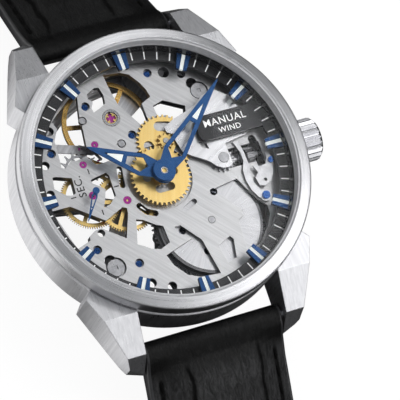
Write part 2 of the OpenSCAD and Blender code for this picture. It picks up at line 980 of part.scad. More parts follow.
module escape_wheel() {
    color(steel)
        head() {
            translate([esc[0], esc[1], 0]) {
                lift(-3.95, -3.8) {
                    difference() {
                        circle(2.25, $fn = 60);
                        circle(1.9, $fn = 60);
                    }
                    for (k = [0 : 14])
                        rotate(k * 24 + 3)
                            polygon([[2.1, -0.2], [2.95, -0.2], [3, -0.08], [2.6, 0.05],
                                [2.1, 0.35]]);
                    for (k = [0 : 3])
                        rotate(k * 90 + 15)
                            translate([0, -0.15])
                                square([2, 0.3]);
                    circle(0.6, $fn = 32);
                }
                lift(-3.65, -3.25)
                    gear(8, 0.437, ph_esc_p, 0.13, 0.12);
            }
            rod(esc, 0.2, -4.95, -2.6);
            rod(esc, 0.15, -5.75, -1.9);
        }
}

pal_dir = atan2(pal[1] - esc[1], pal[0] - esc[0]);

module pallet_fork() {
    d = bal - pal;
    u = d / norm(d);
    v = [-u[1], u[0]];
    tip = pal + u * 3.3;
    color(steel)
        head() {
            lift(-3.95, -3.8) {
                cap(pal, tip, 0.32);
                cap(tip, tip + u * 0.3 + v * 0.38, 0.22);
                cap(tip, tip + u * 0.3 - v * 0.38, 0.22);
                for (s = [-1, 1])
                    cap(pal, esc + 3.62 * [cos(pal_dir + s * 30), sin(pal_dir + s * 30)], 0.4);
                translate([pal[0], pal[1]])
                    circle(0.45, $fn = 32);
            }
            rod(pal, 0.2, -4.05, -2.6);
            rod(pal, 0.12, -4.32, -1.9);
        }
}

module pallet_stones() {
    color(ruby)
        head()
            for (s = [-1, 1])
                translate([esc[0], esc[1], 0])
                    rotate(pal_dir + s * 30)
                        translate([3.06, -0.14, -4.07])
                            cube([0.5, 0.28, 0.11]);
}

module balance_wheel() {
    color(gold)
        head()
            translate([bal[0], bal[1], 0]) {
                lift(-4.85, -4.4)
                    difference() {
                        circle(6.75, $fn = 96);
                        circle(6.05, $fn = 96);
                    }
                lift(-4.75, -4.55)
                    difference() {
                        union() {
                            for (k = [0 : 2])
                                rotate(k * 120 + 50)
                                    translate([0, -0.35])
                                        square([6.2, 0.7]);
                            circle(1, $fn = 32);
                        }
                        circle(0.31, $fn = 32);
                    }
                rod([0, 0], 0.3, -5.25, -3.2);
                rod([0, 0], 0.1, -5.66, -2.44);
                rod([0, 0], 0.95, -4.3, -4.15);
            }
}

module hairspring() {
    turns = 5;
    n = 20;
    r0 = 0.8;
    dr = 0.42;
    out = [for (k = [0 : turns * n]) [k * 360 / n, r0 + dr * k / n + 0.04]];
    inn = [for (k = [turns * n : -1 : 0]) [k * 360 / n, r0 + dr * k / n - 0.04]];
    color(steel)
        head()
            translate([bal[0], bal[1], 0])
                lift(-5.16, -5.04)
                    polygon([for (q = concat(out, inn)) [q[1] * cos(q[0]), q[1] * sin(q[0])]]);
}

// ---------- hands ----------
// Kite-shaped open frame along +X: length, widest radius, half width, rail, crossbar radius.
function half_at(r, len, wr, hw) = hw * (len + 0.6 - r) / (len + 0.6 - wr);

module hand2(len, wr, hw, rail, cr, hub) {
    tipw = half_at(len - rail, len, wr, hw);
    open_end = len + 0.6 - (rail + 0.06) / hw * (len + 0.6 - wr);
    difference() {
        union() {
            polygon([[0, -hub * 0.6], [wr, -hw], [len - rail, -tipw], [len, 0], [len - rail, tipw],
                [wr, hw], [0, hub * 0.6]]);
            circle(hub);
        }
        polygon([[hub + rail, 0], [wr, -(hw - rail)], [cr - rail / 2, -(half_at(cr, len, wr, hw) - rail)],
            [cr - rail / 2, half_at(cr, len, wr, hw) - rail], [wr, hw - rail]]);
        polygon([[cr + rail / 2, -(half_at(cr, len, wr, hw) - rail)], [open_end, -0.05],
            [open_end, 0.05], [cr + rail / 2, half_at(cr, len, wr, hw) - rail]]);
    }
}

module lume2(len, wr, hw, rail, cr) {
    g = 0.02;
    open_end = len + 0.6 - (rail + 0.06) / hw * (len + 0.6 - wr);
    polygon([[cr + rail / 2 + g, -(half_at(cr, len, wr, hw) - rail - g)], [open_end - 0.4, -0.06],
        [open_end - 0.4, 0.06], [cr + rail / 2 + g, half_at(cr, len, wr, hw) - rail - g]]);
}

module hour_hand() {
    color(blue)
        head()
            difference() {
                union() {
                    rotate(hour_a)
                        lift(0.45, 0.65)
                            hand2(hour_l, 3.3, 1.75, 0.6, 5.9, 1.75);
                    rod([0, 0], 1.5, 0.65, 0.8);
                }
                rod([0, 0], 1.06, -2, 2);
            }
}

module hour_lume() {
    color("White")
        head()
            rotate(hour_a)
                lift(0.48, 0.63)
                    lume2(hour_l, 3.3, 1.75, 0.6, 5.9);
}

module minute_hand() {
    color(blue)
        head()
            difference() {
                union() {
                    rotate(minute_a)
                        lift(0.95, 1.15)
                            hand2(minute_l, 3.4, 1.75, 0.6, 9.3, 1.7);
                    rod([0, 0], 1.6, 1.15, 1.3);
                }
                rod([0, 0], 0.71, -2, 1.2);
                rod([0, 0], 0.55, -2, 2);
            }
}

module minute_lume() {
    color("White")
        head()
            rotate(minute_a)
                lift(0.98, 1.13)
                    lume2(minute_l, 3.4, 1.75, 0.6, 9.3);
}

module seconds_hand() {
    color(blue)
        head()
            translate([sec[0], sec[1], 0])
                difference() {
                    union() {
                        rotate(seconds_a)
                            lift(0.08, 0.18)
                                hand2(seconds_l, 0.9, 0.42, 0.17, 2.6, 0.42);
                        rod([0, 0], 0.5, 0.08, 0.32);
                    }
                    rod([0, 0], 0.21, -1, 0.14);
                }
}

// ---------- strap ----------
// Slope of the strap's underside at arc length s; up is the final upward slope.
function slope(s, up) = s < rise ? droop : max(-up, droop - (s - rise) / bend_r * 180 / PI);
function s_flat(up) = rise + bend_r * (droop + up) * PI / 180;
function nrm(a) = [sin(a), cos(a)];
function p_bar() = [bar_y, bar_z] - loop_r * nrm(droop);
function under(s, up) =
    s < rise ? p_bar() + s * [cos(droop), -sin(droop)]
    : s < s_flat(up) ? p_bar() + rise * [cos(droop), -sin(droop)]
        + bend_r * (nrm(droop) - nrm(slope(s, up)))
    : under(s_flat(up) - 0.0001, up) + (s - s_flat(up)) * [cos(up), sin(up)];
function thick(s, l) = lookup(s, [[0, 2 * loop_r], [4, (2 * loop_r + strap_t0) / 2 + 0.3],
    [8, strap_t0], [15, strap_t0], [45, strap_t1 + 0.5], [l, strap_t1]]);
function over(s, up, l) = under(s, up) + thick(s, l) * nrm(slope(s, up));

// Put children (drawn along +Y, underside at z = 0) on the strap at arc length s.
module on_strap(s, up) {
    p = under(s, up);
    translate([0, p[0], p[1]])
        rotate([-slope(s, up), 0, 0])
            children();
}

module side_profile(l, up) {
    st = concat([0, 2, 4, 6, 8, 11], [for (k = [0 : 12]) rise + (s_flat(up) - rise) * k / 12],
        [for (k = [1 : 5]) s_flat(up) + (l - s_flat(up)) * k / 5]);
    polygon(concat([for (s = st) under(s, up)],
        [for (k = [len(st) - 1 : -1 : 0]) over(st[k], up, l)]));
    translate([bar_y, bar_z])
        circle(loop_r, $fn = 48);
}

module plan(l, up, tip) {
    y1 = under(55, up)[0];
    y2 = under(l, up)[0];
    w0 = (lug_w - 0.5) / 2;
    w1 = strap_end_w / 2;
    polygon([[-w0, bar_y - 4], [w0, bar_y - 4], [w0, bar_y + 8], [w1, y1], [w1, y2 - tip],
        [w1 * 0.86, y2 - tip * 0.45], [w1 * 0.45, y2 - 1], [w1 * 0.2, y2 - 0.1], [-w1 * 0.2, y2 - 0.1],
        [-w1 * 0.45, y2 - 1], [-w1 * 0.86, y2 - tip * 0.45], [-w1, y2 - tip], [-w1, y1],
        [-w0, bar_y + 8]]);
}

module strap_bar_hole() {
    translate([-20, bar_y, bar_z])
        rotate([0, 90, 0])
            cylinder(r = 0.95, h = 40, $fn = 48);
}

buckle_n = strap_t1 / 2;

module strap_12() {
    color("Black")
        difference() {
            union() {
                intersection() {
                    rotate([90, 0, 90])
                        translate([0, 0, -20])
                            linear_extrude(height = 40)
                                side_profile(strap_short, end_up);
                    linear_extrude(height = 60)
                        plan(strap_short + 8, end_up, 8);
                }
                on_strap(strap_short, end_up)
                    translate([-strap_end_w / 2, 0, buckle_n])
                        rotate([0, 90, 0])
                            cylinder(r = buckle_n, h = strap_end_w, $fn = 48);
            }
            strap_bar_hole();
            on_strap(strap_short, end_up) {
                translate([-20, 0, buckle_n])
                    rotate([0, 90, 0])
                        cylinder(r = 0.75, h = 40, $fn = 48);
                translate([-1.4, -3.2, -1])
                    cube([2.8, 8, 6]);
            }
        }
}

module strap_6() {
    color("Black")
        mirror([0, 1, 0])
            difference() {
                intersection() {
                    rotate([90, 0, 90])
                        translate([0, 0, -20])
                            linear_extrude(height = 40)
                                side_profile(strap_long, 0);
                    linear_extrude(height = 60)
                        plan(strap_long, 0, 9);
                }
                strap_bar_hole();
                for (k = [0 : holes - 1])
                    translate([0, under(strap_long - 24 - k * hole_pitch, 0)[0], -1])
                        cylinder(r = 1.1, h = 8, $fn = 32);
            }
}

// ---------- buckle and keepers ----------
buck_in = strap_end_w / 2 + 0.4;

module buckle_frame() {
    color(steel)
        on_strap(strap_short, end_up)
            difference() {
                translate([0, 0, buckle_n - 1.2])
                    linear_extrude(height = buckle_h)
                        difference() {
                            union() {
                                translate([-buck_in - 2, -2])
                                    square([2 * buck_in + 4, 9]);
                                translate([-buck_in, 5])
                                    square([2 * buck_in, 6]);
                                for (s = [-1, 1])
                                    translate([s * buck_in, 7])
                                        circle(r = 2, $fn = 48);
                                cap([-buck_in + 2, 9], [buck_in - 2, 9], 4);
                            }
                            translate([-buck_in, -4])
                                square([2 * buck_in, 12]);
                        }
                translate([-buck_in - 1.4, 0, buckle_n])
                    rotate([0, 90, 0])
                        cylinder(r = 0.71, h = 2 * buck_in + 2.8, $fn = 48);
                translate([-1.2, 7, buckle_n + 0.55])
                    cube([2.4, 6, 3]);
            }
}

module buckle_bar() {
    color(steel)
        on_strap(strap_short, end_up)
            translate([-buck_in - 1.3, 0, buckle_n])
                rotate([0, 90, 0])
                    cylinder(r = 0.7, h = 2 * buck_in + 2.6, $fn = 48);
}

module buckle_tongue() {
    color(steel)
        on_strap(strap_short, end_up)
            difference() {
                union() {
                    translate([-0.9, 0, buckle_n])
                        rotate([0, 90, 0])
                            cylinder(r = 1.35, h = 1.8, $fn = 48);
                    translate([-0.9, 0, buckle_n + 0.6])
                        cube([1.8, 9.6, 0.75]);
                    translate([0, 9.6, buckle_n + 0.6])
                        cylinder(r = 0.9, h = 0.75, $fn = 32);
                }
                translate([-2, 0, buckle_n])
                    rotate([0, 90, 0])
                        cylinder(r = 0.75, h = 4, $fn = 48);
            }
}

module keeper(s) {
    h = thick(s, strap_short) + strap_t1 + 0.5;
    w = strap_end_w / 2 + 0.5;
    on_strap(s, end_up)
        rotate([90, 0, 0])
            translate([0, 0, -keeper_w / 2])
                linear_extrude(height = keeper_w)
                    difference() {
                        translate([-w - 0.9, -0.85])
                            square([2 * w + 1.8, h + 1.8]);
                        translate([-w, -0.05])
                            square([2 * w, h]);
                    }
}

module fixed_keeper() {
    color("Black")
        keeper(strap_short - 8);
}

module free_keeper() {
    color("Black")
        keeper(strap_short - 24);
}

case_body();
bezel();
front_crystal();
crystal_gaskets();
flange_ring();
dial_ring();
hour_indexes();
index_lume();
case_back();
back_crystal();
movement_ring();
spring_bars();
crown();
stem();
crown_tube();
keyless_pinions();
main_plate();
keyless_cover();
yoke();
setting_cover();
train_bridge();
barrel_bridge();
balance_cock();
pallet_bridge();
jewels();
shock_settings();
blue_screws();
plate_pins();
barrel_drum();
barrel_cover();
mainspring();
barrel_arbor();
ratchet_wheel();
crown_wheel();
click();
centre_wheel();
cannon_pinion();
hour_wheel();
minute_wheel();
intermediate_wheel();
setting_wheel();
third_wheel();
fourth_wheel();
escape_wheel();
pallet_fork();
pallet_stones();
balance_wheel();
hairspring();
hour_hand();
hour_lume();
minute_hand();
minute_lume();
seconds_hand();
strap_12();
strap_6();
buckle_frame();
buckle_tongue();
buckle_bar();
fixed_keeper();
free_keeper();
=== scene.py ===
import math
import bmesh
import bpy
import numpy as np
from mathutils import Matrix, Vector


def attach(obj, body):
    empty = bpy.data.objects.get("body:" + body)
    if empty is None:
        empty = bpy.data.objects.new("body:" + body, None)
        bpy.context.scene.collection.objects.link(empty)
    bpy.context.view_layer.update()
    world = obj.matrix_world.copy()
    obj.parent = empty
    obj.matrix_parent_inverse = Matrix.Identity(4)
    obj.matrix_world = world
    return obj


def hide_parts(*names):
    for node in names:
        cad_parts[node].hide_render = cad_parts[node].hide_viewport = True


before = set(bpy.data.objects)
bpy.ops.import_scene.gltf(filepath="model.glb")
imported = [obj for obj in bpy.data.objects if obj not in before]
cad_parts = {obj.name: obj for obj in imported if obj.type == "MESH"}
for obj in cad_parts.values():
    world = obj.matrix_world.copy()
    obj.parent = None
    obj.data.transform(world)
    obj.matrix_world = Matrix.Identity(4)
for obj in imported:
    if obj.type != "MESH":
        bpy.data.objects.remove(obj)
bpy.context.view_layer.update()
mm = 0.001  # the tables below are in millimetres, the scene is in metres

# how the strap lies and holds the case up: round a spring bar, straight down, then a bend to the table
lie = {
    "barY": 23.6,
    "loop": 1.6,  # the strap's underside to the axis of the bar
    "droop": 30.0,  # degrees
    "rise": 14.0,
    "bend": 22.0,
    "dialOverBar": 4.9,
}
droop = math.radians(lie["droop"])
barZ = lie["loop"] * math.cos(droop) + lie["rise"] * math.sin(droop) + lie["bend"] * (1 - math.cos(droop))
dialZ = barZ + lie["dialOverBar"]  # height of the minute ring above the table
print("frame loaded:", len(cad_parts), "CAD nodes")


def newObject(name, data):
    made = bpy.data.objects.new(name, data)
    bpy.context.scene.collection.objects.link(made)
    return made


def faceOutwards(mesh):
    build = bmesh.new()
    build.from_mesh(mesh)
    bmesh.ops.recalc_face_normals(build, faces=build.faces[:])
    build.to_mesh(mesh)
    build.free()


# camera
view = {
    "place": (-119.88, -93.99, 337.35),
    "turn": (20.957, -14.623, -21.003),  # degrees about X, Y, Z
    "lens": 223.29,
    "sensor": 36.0,
    "near": 0.02,  # metres
    "far": 20.0,
}
camera = newObject("camera", bpy.data.cameras.new("camera"))
camera.location = Vector(view["place"]) * mm
camera.rotation_euler = [math.radians(a) for a in view["turn"]]
camera.data.lens = view["lens"]
camera.data.sensor_width = view["sensor"]
camera.data.clip_start = view["near"]
camera.data.clip_end = view["far"]
bpy.context.scene.camera = camera
bpy.context.scene.view_settings.view_transform = "Standard"


def fillInputs(tree, node, inputs):
    # a socket is linked, anything else is set as the value
    for key, value in (inputs or {}).items():
        if isinstance(value, bpy.types.NodeSocket):
            tree.links.new(value, node.inputs[key])
        else:
            node.inputs[key].default_value = value


def addNode(tree, kind, inputs=None, **settings):
    made = tree.nodes.new("ShaderNode" + kind)
    for name, value in settings.items():
        setattr(made, name, value)
    fillInputs(tree, made, inputs)
    return made


def calc(tree, kind, *values, **settings):
    return addNode(tree, "Math", dict(enumerate(values)), operation=kind, **settings)


def newMaterial(name):
    material = bpy.data.materials.new(name)
    material.use_nodes = True
    tree = material.node_tree
    tree.nodes.clear()
    return material, tree


# lights and floor, in metres
studio = {
    "backdrop": 0.93,  # what the camera sees behind the floor
    "air": 0.36,
    "horizon": 0.08,
    "skyHeights": (-0.1, 0.75),  # where the sky starts and stops getting brighter
    "floorHalf": 3.0,
    "floorTone": 0.93,  # the floor's own light as the camera sees it
    "floorPale": 0.12,
    "floorBounce": 0.05,  # what the steel sees of the floor on the dark side
    "floorGlow": 1.0,  # and on the bright side, left of the case
    "glowX": (-0.015, -0.0195),  # the glow grows from the first to the second
    "glowY": (-0.042, -0.034),
    "dipY": -0.0155,  # a dim band across the glow
    "dipWide": 0.010,
    "dipLow": 0.2,
    "softboxes": [  # direction from the watch, distance, width, height, brightness
        ((0.60, -0.02, 0.80), 0.62, 0.40, 0.34, 2.6),
        ((-0.25, 0.55, 0.80), 0.66, 0.46, 0.20, 0.9),
        ((-0.80, -0.10, 0.55), 0.70, 0.30, 0.40, 1.1),
        ((0.30, -0.64, 0.70), 0.66, 0.34, 0.20, 1.0),
        ((0.60, -0.58, 0.55), 0.60, 0.12, 0.09, 7.5),
        ((0.36, -0.28, 0.89), 0.66, 0.24, 0.14, 1.1),
        ((0.33, -0.90, 0.28), 0.70, 0.40, 0.12, 0.9),
        ((-0.59, -0.69, 0.42), 0.70, 0.28, 0.20, 0.8),
        ((0.30, 0.80, 0.54), 0.72, 0.40, 0.16, 1.3),
        ((0.88, 0.02, 0.44), 0.66, 0.24, 0.30, 0.55),
    ],
}
world = bpy.data.worlds.new("studio")
bpy.context.scene.world = world
world.use_nodes = True
tree = world.node_tree
tree.nodes.clear()
where = addNode(tree, "TexCoord")
height = addNode(tree, "SeparateXYZ", {0: where.outputs["Generated"]})
rise = addNode(tree, "MapRange", {
    "Value": height.outputs["Z"], "From Min": studio["skyHeights"][0], "From Max": studio["skyHeights"][1],
    "To Min": studio["horizon"], "To Max": studio["air"]})
around = addNode(tree, "Background", {"Color": (0.96, 0.98, 1, 1), "Strength": rise.outputs[0]})
seen = addNode(tree, "Background", {"Color": (1, 1, 1, 1), "Strength": studio["backdrop"]})
path = addNode(tree, "LightPath")
isCamera = path.outputs["Is Camera Ray"]
mixed = addNode(tree, "MixShader", {0: isCamera, 1: around.outputs[0], 2: seen.outputs[0]})
addNode(tree, "OutputWorld", {0: mixed.outputs[0]})

for number, (way, far, wide, tall, glow) in enumerate(studio["softboxes"]):
    lamp = newObject(f"softbox{number}", bpy.data.lights.new(f"softbox{number}", "AREA"))
    lamp.data.shape = "RECTANGLE"
    lamp.data.size, lamp.data.size_y = wide, tall
    lamp.data.energy = glow * math.pi * wide * tall
    way = Vector(way).normalized()
    lamp.location = way * far
    lamp.rotation_euler = (-way).to_track_quat("-Z", "Y").to_euler()

reach = studio["floorHalf"]
mesh = bpy.data.meshes.new("floor")
sheet = [(-reach, -reach, 0), (reach, -reach, 0), (reach, reach, 0), (-reach, reach, 0)]
mesh.from_pydata(sheet, [], [(0, 1, 2, 3)])
floor = newObject("floor", mesh)
paper, tree = newMaterial("paleFloor")
path = addNode(tree, "LightPath")
spot = addNode(tree, "TexCoord")
flat = addNode(tree, "SeparateXYZ", {0: spot.outputs["Object"]})


def fadeIn(tree, value, start, stop, low=0.0):
    return addNode(tree, "MapRange", {"Value": value, "From Min": start, "From Max": stop, "To Min": low,
                                      "To Max": 1.0}, interpolation_type="SMOOTHSTEP")


left = fadeIn(tree, flat.outputs[0], *studio["glowX"])
back = fadeIn(tree, flat.outputs[1], *studio["glowY"])
near = calc(tree, "ADD", flat.outputs[1], -studio["dipY"])
apart = calc(tree, "ABSOLUTE", near.outputs[0])
dip = fadeIn(tree, apart.outputs[0], 0.0, studio["dipWide"], studio["dipLow"])
lane = calc(tree, "MULTIPLY", left.outputs[0], back.outputs[0])
side = calc(tree, "MULTIPLY", lane.outputs[0], dip.outputs[0])
shine = calc(tree, "MULTIPLY", side.outputs[0], studio["floorGlow"])
card = addNode(tree, "Emission", {"Color": (1, 1, 1, 1), "Strength": shine.outputs[0]})
dull = addNode(tree, "BsdfDiffuse", {"Color": (studio["floorBounce"],) * 3 + (1,)})
dim = addNode(tree, "AddShader", {0: dull.outputs[0], 1: card.outputs[0]})
pale = addNode(tree, "BsdfDiffuse", {"Color": (studio["floorPale"],) * 3 + (1,)})
glow = addNode(tree, "Emission", {"Color": (1, 1, 1, 1), "Strength": studio["floorTone"]})
lit = addNode(tree, "AddShader", {0: pale.outputs[0], 1: glow.outputs[0]})
both = addNode(tree, "MixShader", {0: path.outputs["Is Camera Ray"], 1: dim.outputs[0], 2: lit.outputs[0]})
addNode(tree, "OutputMaterial", {0: both.outputs[0]})
mesh.materials.append(paper)
print("camera, lights and floor set")


# shader groups that several materials share
def newGroup(name, inputs, outputs):
    group = bpy.data.node_groups.new(name, "ShaderNodeTree")
    for label, kind, value in inputs:
        socket = group.interface.new_socket(label, in_out="INPUT", socket_type="NodeSocket" + kind)
        socket.default_value = value
    for label, kind in outputs:
        group.interface.new_socket(label, in_out="OUTPUT", socket_type="NodeSocket" + kind)
    return group, group.nodes.new("NodeGroupInput"), group.nodes.new("NodeGroupOutput")


# place in millimetres from Object coordinates: Flat is turned in the plane, Ring runs round a centre,
# Ray away from it
placeGroup, given, result = newGroup(
    "toolPath",
    [("Centre", "Vector", (0, 0, 0)), ("Turn", "Float", 0.0)],
    [("Flat", "Vector"), ("Ring", "Vector"), ("Ray", "Vector"), ("Radius", "Float")])
tree = placeGroup
where = addNode(tree, "TexCoord")
scaled = addNode(tree, "VectorMath", {0: where.outputs["Object"], "Scale": 1 / mm}, operation="SCALE")
moved = addNode(tree, "VectorMath", {0: scaled.outputs[0], 1: given.outputs["Centre"]},
                operation="SUBTRACT")
turned = addNode(tree, "VectorRotate", {"Vector": moved.outputs[0], "Angle": given.outputs["Turn"]},
                 rotation_type="Z_AXIS")
parts = addNode(tree, "SeparateXYZ", {0: moved.outputs[0]})
flat = addNode(tree, "CombineXYZ", {0: parts.outputs[0], 1: parts.outputs[1], 2: 0.0})
radius = addNode(tree, "VectorMath", {0: flat.outputs[0]}, operation="LENGTH")
unit = addNode(tree, "VectorMath", {0: flat.outputs[0]}, operation="NORMALIZE")
way = addNode(tree, "SeparateXYZ", {0: unit.outputs[0]})
ringed = addNode(tree, "CombineXYZ", {0: radius.outputs["Value"], 1: way.outputs[0], 2: way.outputs[1]})
rayed = addNode(tree, "CombineXYZ", {0: way.outputs[0], 1: way.outputs[1], 2: radius.outputs["Value"]})
for label, socket in (("Flat", turned.outputs[0]), ("Ring", ringed.outputs[0]), ("Ray", rayed.outputs[0]),
                      ("Radius", radius.outputs["Value"])):
    tree.links.new(socket, result.inputs[label])

# fine tool lines: noise squeezed by Density along each axis of Place
lineGroup, given, result = newGroup(
    "toolLines",
    [("Place", "Vector", (0, 0, 0)), ("Density", "Vector", (12, 0.3, 0.3))],
    [("Height", "Float"), ("Tone", "Float")])
tree = lineGroup
fine = addNode(tree, "VectorMath", {0: given.outputs["Place"], 1: given.outputs["Density"]},
               operation="MULTIPLY")
lines = addNode(tree, "TexNoise", {"Vector": fine.outputs[0], "Scale": 1.0, "Detail": 3.0, "Roughness": 0.65})
bandShare = 0.31  # bands are three times wider than lines
wide = addNode(tree, "VectorMath", {0: fine.outputs[0], "Scale": bandShare}, operation="SCALE")
bands = addNode(tree, "TexNoise", {"Vector": wide.outputs[0], "Scale": 1.0, "Detail": 2.0, "Roughness": 0.5})
tree.links.new(lines.outputs[0], result.inputs["Height"])
tree.links.new(bands.outputs[0], result.inputs["Tone"])

# broken edges: a rounded normal and a mask that is high on corners, where the materials paint a highlight
# colour
edgeGroup, given, result = newGroup(
    "softEdges",
    [("Radius", "Float", 0.06 * mm), ("Spread", "Float", 0.12)],
    [("Normal", "Vector"), ("Mask", "Float")])
tree = edgeGroup
bevel = addNode(tree, "Bevel", {"Radius": given.outputs["Radius"]}, samples=4)
face = addNode(tree, "NewGeometry")
facing = addNode(tree, "VectorMath", {0: bevel.outputs[0], 1: face.outputs["Normal"]},
                 operation="DOT_PRODUCT")
sharp = calc(tree, "SUBTRACT", 1.0, facing.outputs["Value"])
mask = calc(tree, "DIVIDE", sharp.outputs[0], given.outputs["Spread"], use_clamp=True)
tree.links.new(bevel.outputs[0], result.inputs["Normal"])
tree.links.new(mask.outputs[0], result.inputs["Mask"])

# handling: faint cloudy wipe marks on anything smooth
wipeGroup, given, result = newGroup("wipeMarks", [("Size", "Float", 0.5)], [("Cloud", "Float")])
tree = wipeGroup
where = addNode(tree, "TexCoord")
scaled = addNode(tree, "VectorMath", {0: where.outputs["Object"], "Scale": 1 / mm}, operation="SCALE")
cloud = addNode(tree, "TexNoise", {"Vector": scaled.outputs[0], "Scale": given.outputs["Size"], "Detail": 4.0,
                                   "Roughness": 0.6, "Distortion": 0.4})
tree.links.new(cloud.outputs[0], result.inputs["Cloud"])


def useGroup(tree, group, inputs=None):
    made = tree.nodes.new("ShaderNodeGroup")
    made.node_tree = group
    fillInputs(tree, made, inputs)
    return made


def mixColour(tree, factor, first, second):
    made = addNode(tree, "Mix", {0: factor, 6: first, 7: second}, data_type="RGBA")
    return made.outputs[2]


def spread(tree, value, low, high, fromLow=0.3, fromHigh=0.7):
    made = addNode(tree, "MapRange", {"Value": value, "From Min": fromLow, "From Max": fromHigh,
                                      "To Min": low, "To Max": high})
    return made.outputs[0]


def steepness(tree, limit, kind):
    # 1 where the upright share of the normal is over or under the limit
    own = addNode(tree, "TexCoord")
    up = addNode(tree, "SeparateXYZ", {0: own.outputs["Normal"]})
    steep = calc(tree, "ABSOLUTE", up.outputs[2])
    return addNode(tree, "Math", {0: steep.outputs[0], 1: limit}, operation=kind).outputs[0]


# what all metals share
metalRules = {
    "topLimit": 0.45,  # a face is a top above this share of upright
    "wallLimit": 0.5,  # and a steep face below this one, which gets painted shade
    "wipe": (0.92, 1.1),  # handling marks, times the roughness
}


def metal(name, look):
    # look: light and dark colour, a lighter colour painted on edges and corners as a highlight, roughness
    # pair, lines (Flat, Ring, Ray or case) and their density, turn, centre, bump and depth; edge and cloud
    # are sizes; a dark colour for steep faces is painted shade, and outer is another colour
    material, tree = newMaterial(name)
    paths = useGroup(tree, placeGroup, {"Centre": (*look.get("centre", (0, 0)), 0),
                                        "Turn": math.radians(look.get("turn", 0))})
    lines, density = look.get("lines", "Flat"), look.get("density", (6, 6, 6))
    if lines == "case":  # along the lugs on top, up and down on the flanks
        top = steepness(tree, metalRules["topLimit"], "GREATER_THAN")
        place = paths.outputs["Flat"]
        lying = useGroup(tree, lineGroup, {"Place": place, "Density": density})
        standing = useGroup(tree, lineGroup, {"Place": place, "Density": look["flank"]})
        grain = addNode(tree, "Mix", {0: top, 2: standing.outputs[0], 3: lying.outputs[0]}).outputs[0]
        tone = addNode(tree, "Mix", {0: top, 2: standing.outputs[1], 3: lying.outputs[1]}).outputs[0]
    else:
        place = paths.outputs[lines]
        worked = useGroup(tree, lineGroup, {"Place": place, "Density": density})
        grain, tone = worked.outputs[0], worked.outputs[1]
    edges = useGroup(tree, edgeGroup, {"Radius": look.get("edge", 0.05) * mm})
    wiped = useGroup(tree, wipeGroup, {"Size": look.get("cloud", 0.35)})
    body = mixColour(tree, spread(tree, tone, 0, 1), (*look["dark"], 1), (*look["light"], 1))
    if "outer" in look:  # another colour outside a radius
        radius, colour = look["outer"]
        away = calc(tree, "GREATER_THAN", paths.outputs["Radius"], radius)
        body = mixColour(tree, away.outputs[0], body, (*colour, 1))
    if "wallShade" in look:  # painted shade: steep faces get a dark colour for the shade that falls on them
        side = steepness(tree, metalRules["wallLimit"], "LESS_THAN")
        body = mixColour(tree, side, body, (*look["wallShade"], 1))
    # painted highlight: edges and corners get a lighter colour where they would catch the light
    colour = mixColour(tree, edges.outputs["Mask"], body, (*look.get("edgeHighlight", look["light"]), 1))
    rough = spread(tree, grain, *look["rough"])
    handled = spread(tree, wiped.outputs[0], *metalRules["wipe"])
    marked = calc(tree, "MULTIPLY", rough, handled)
    bump = addNode(tree, "Bump", {
        "Strength": look.get("bump", 0.1), "Distance": look.get("depth", 0.004) * mm, "Height": grain,
        "Normal": edges.outputs["Normal"]})
    shader = addNode(tree, "BsdfPrincipled", {
        "Base Color": colour, "Metallic": look.get("metallic", 1.0), "Roughness": marked.outputs[0],
        "Normal": bump.outputs[0], "Anisotropic": look.get("anisotropic", 0.0)})
    if look.get("anisotropic"):
        around = addNode(tree, "Tangent", direction_type="RADIAL", axis="Z")
        tree.links.new(around.outputs[0], shader.inputs["Tangent"])
    addNode(tree, "OutputMaterial", {0: shader.outputs[0]})
    return material


def steel(value):
    return (value, value, value + 0.02)  # a faintly blue grey


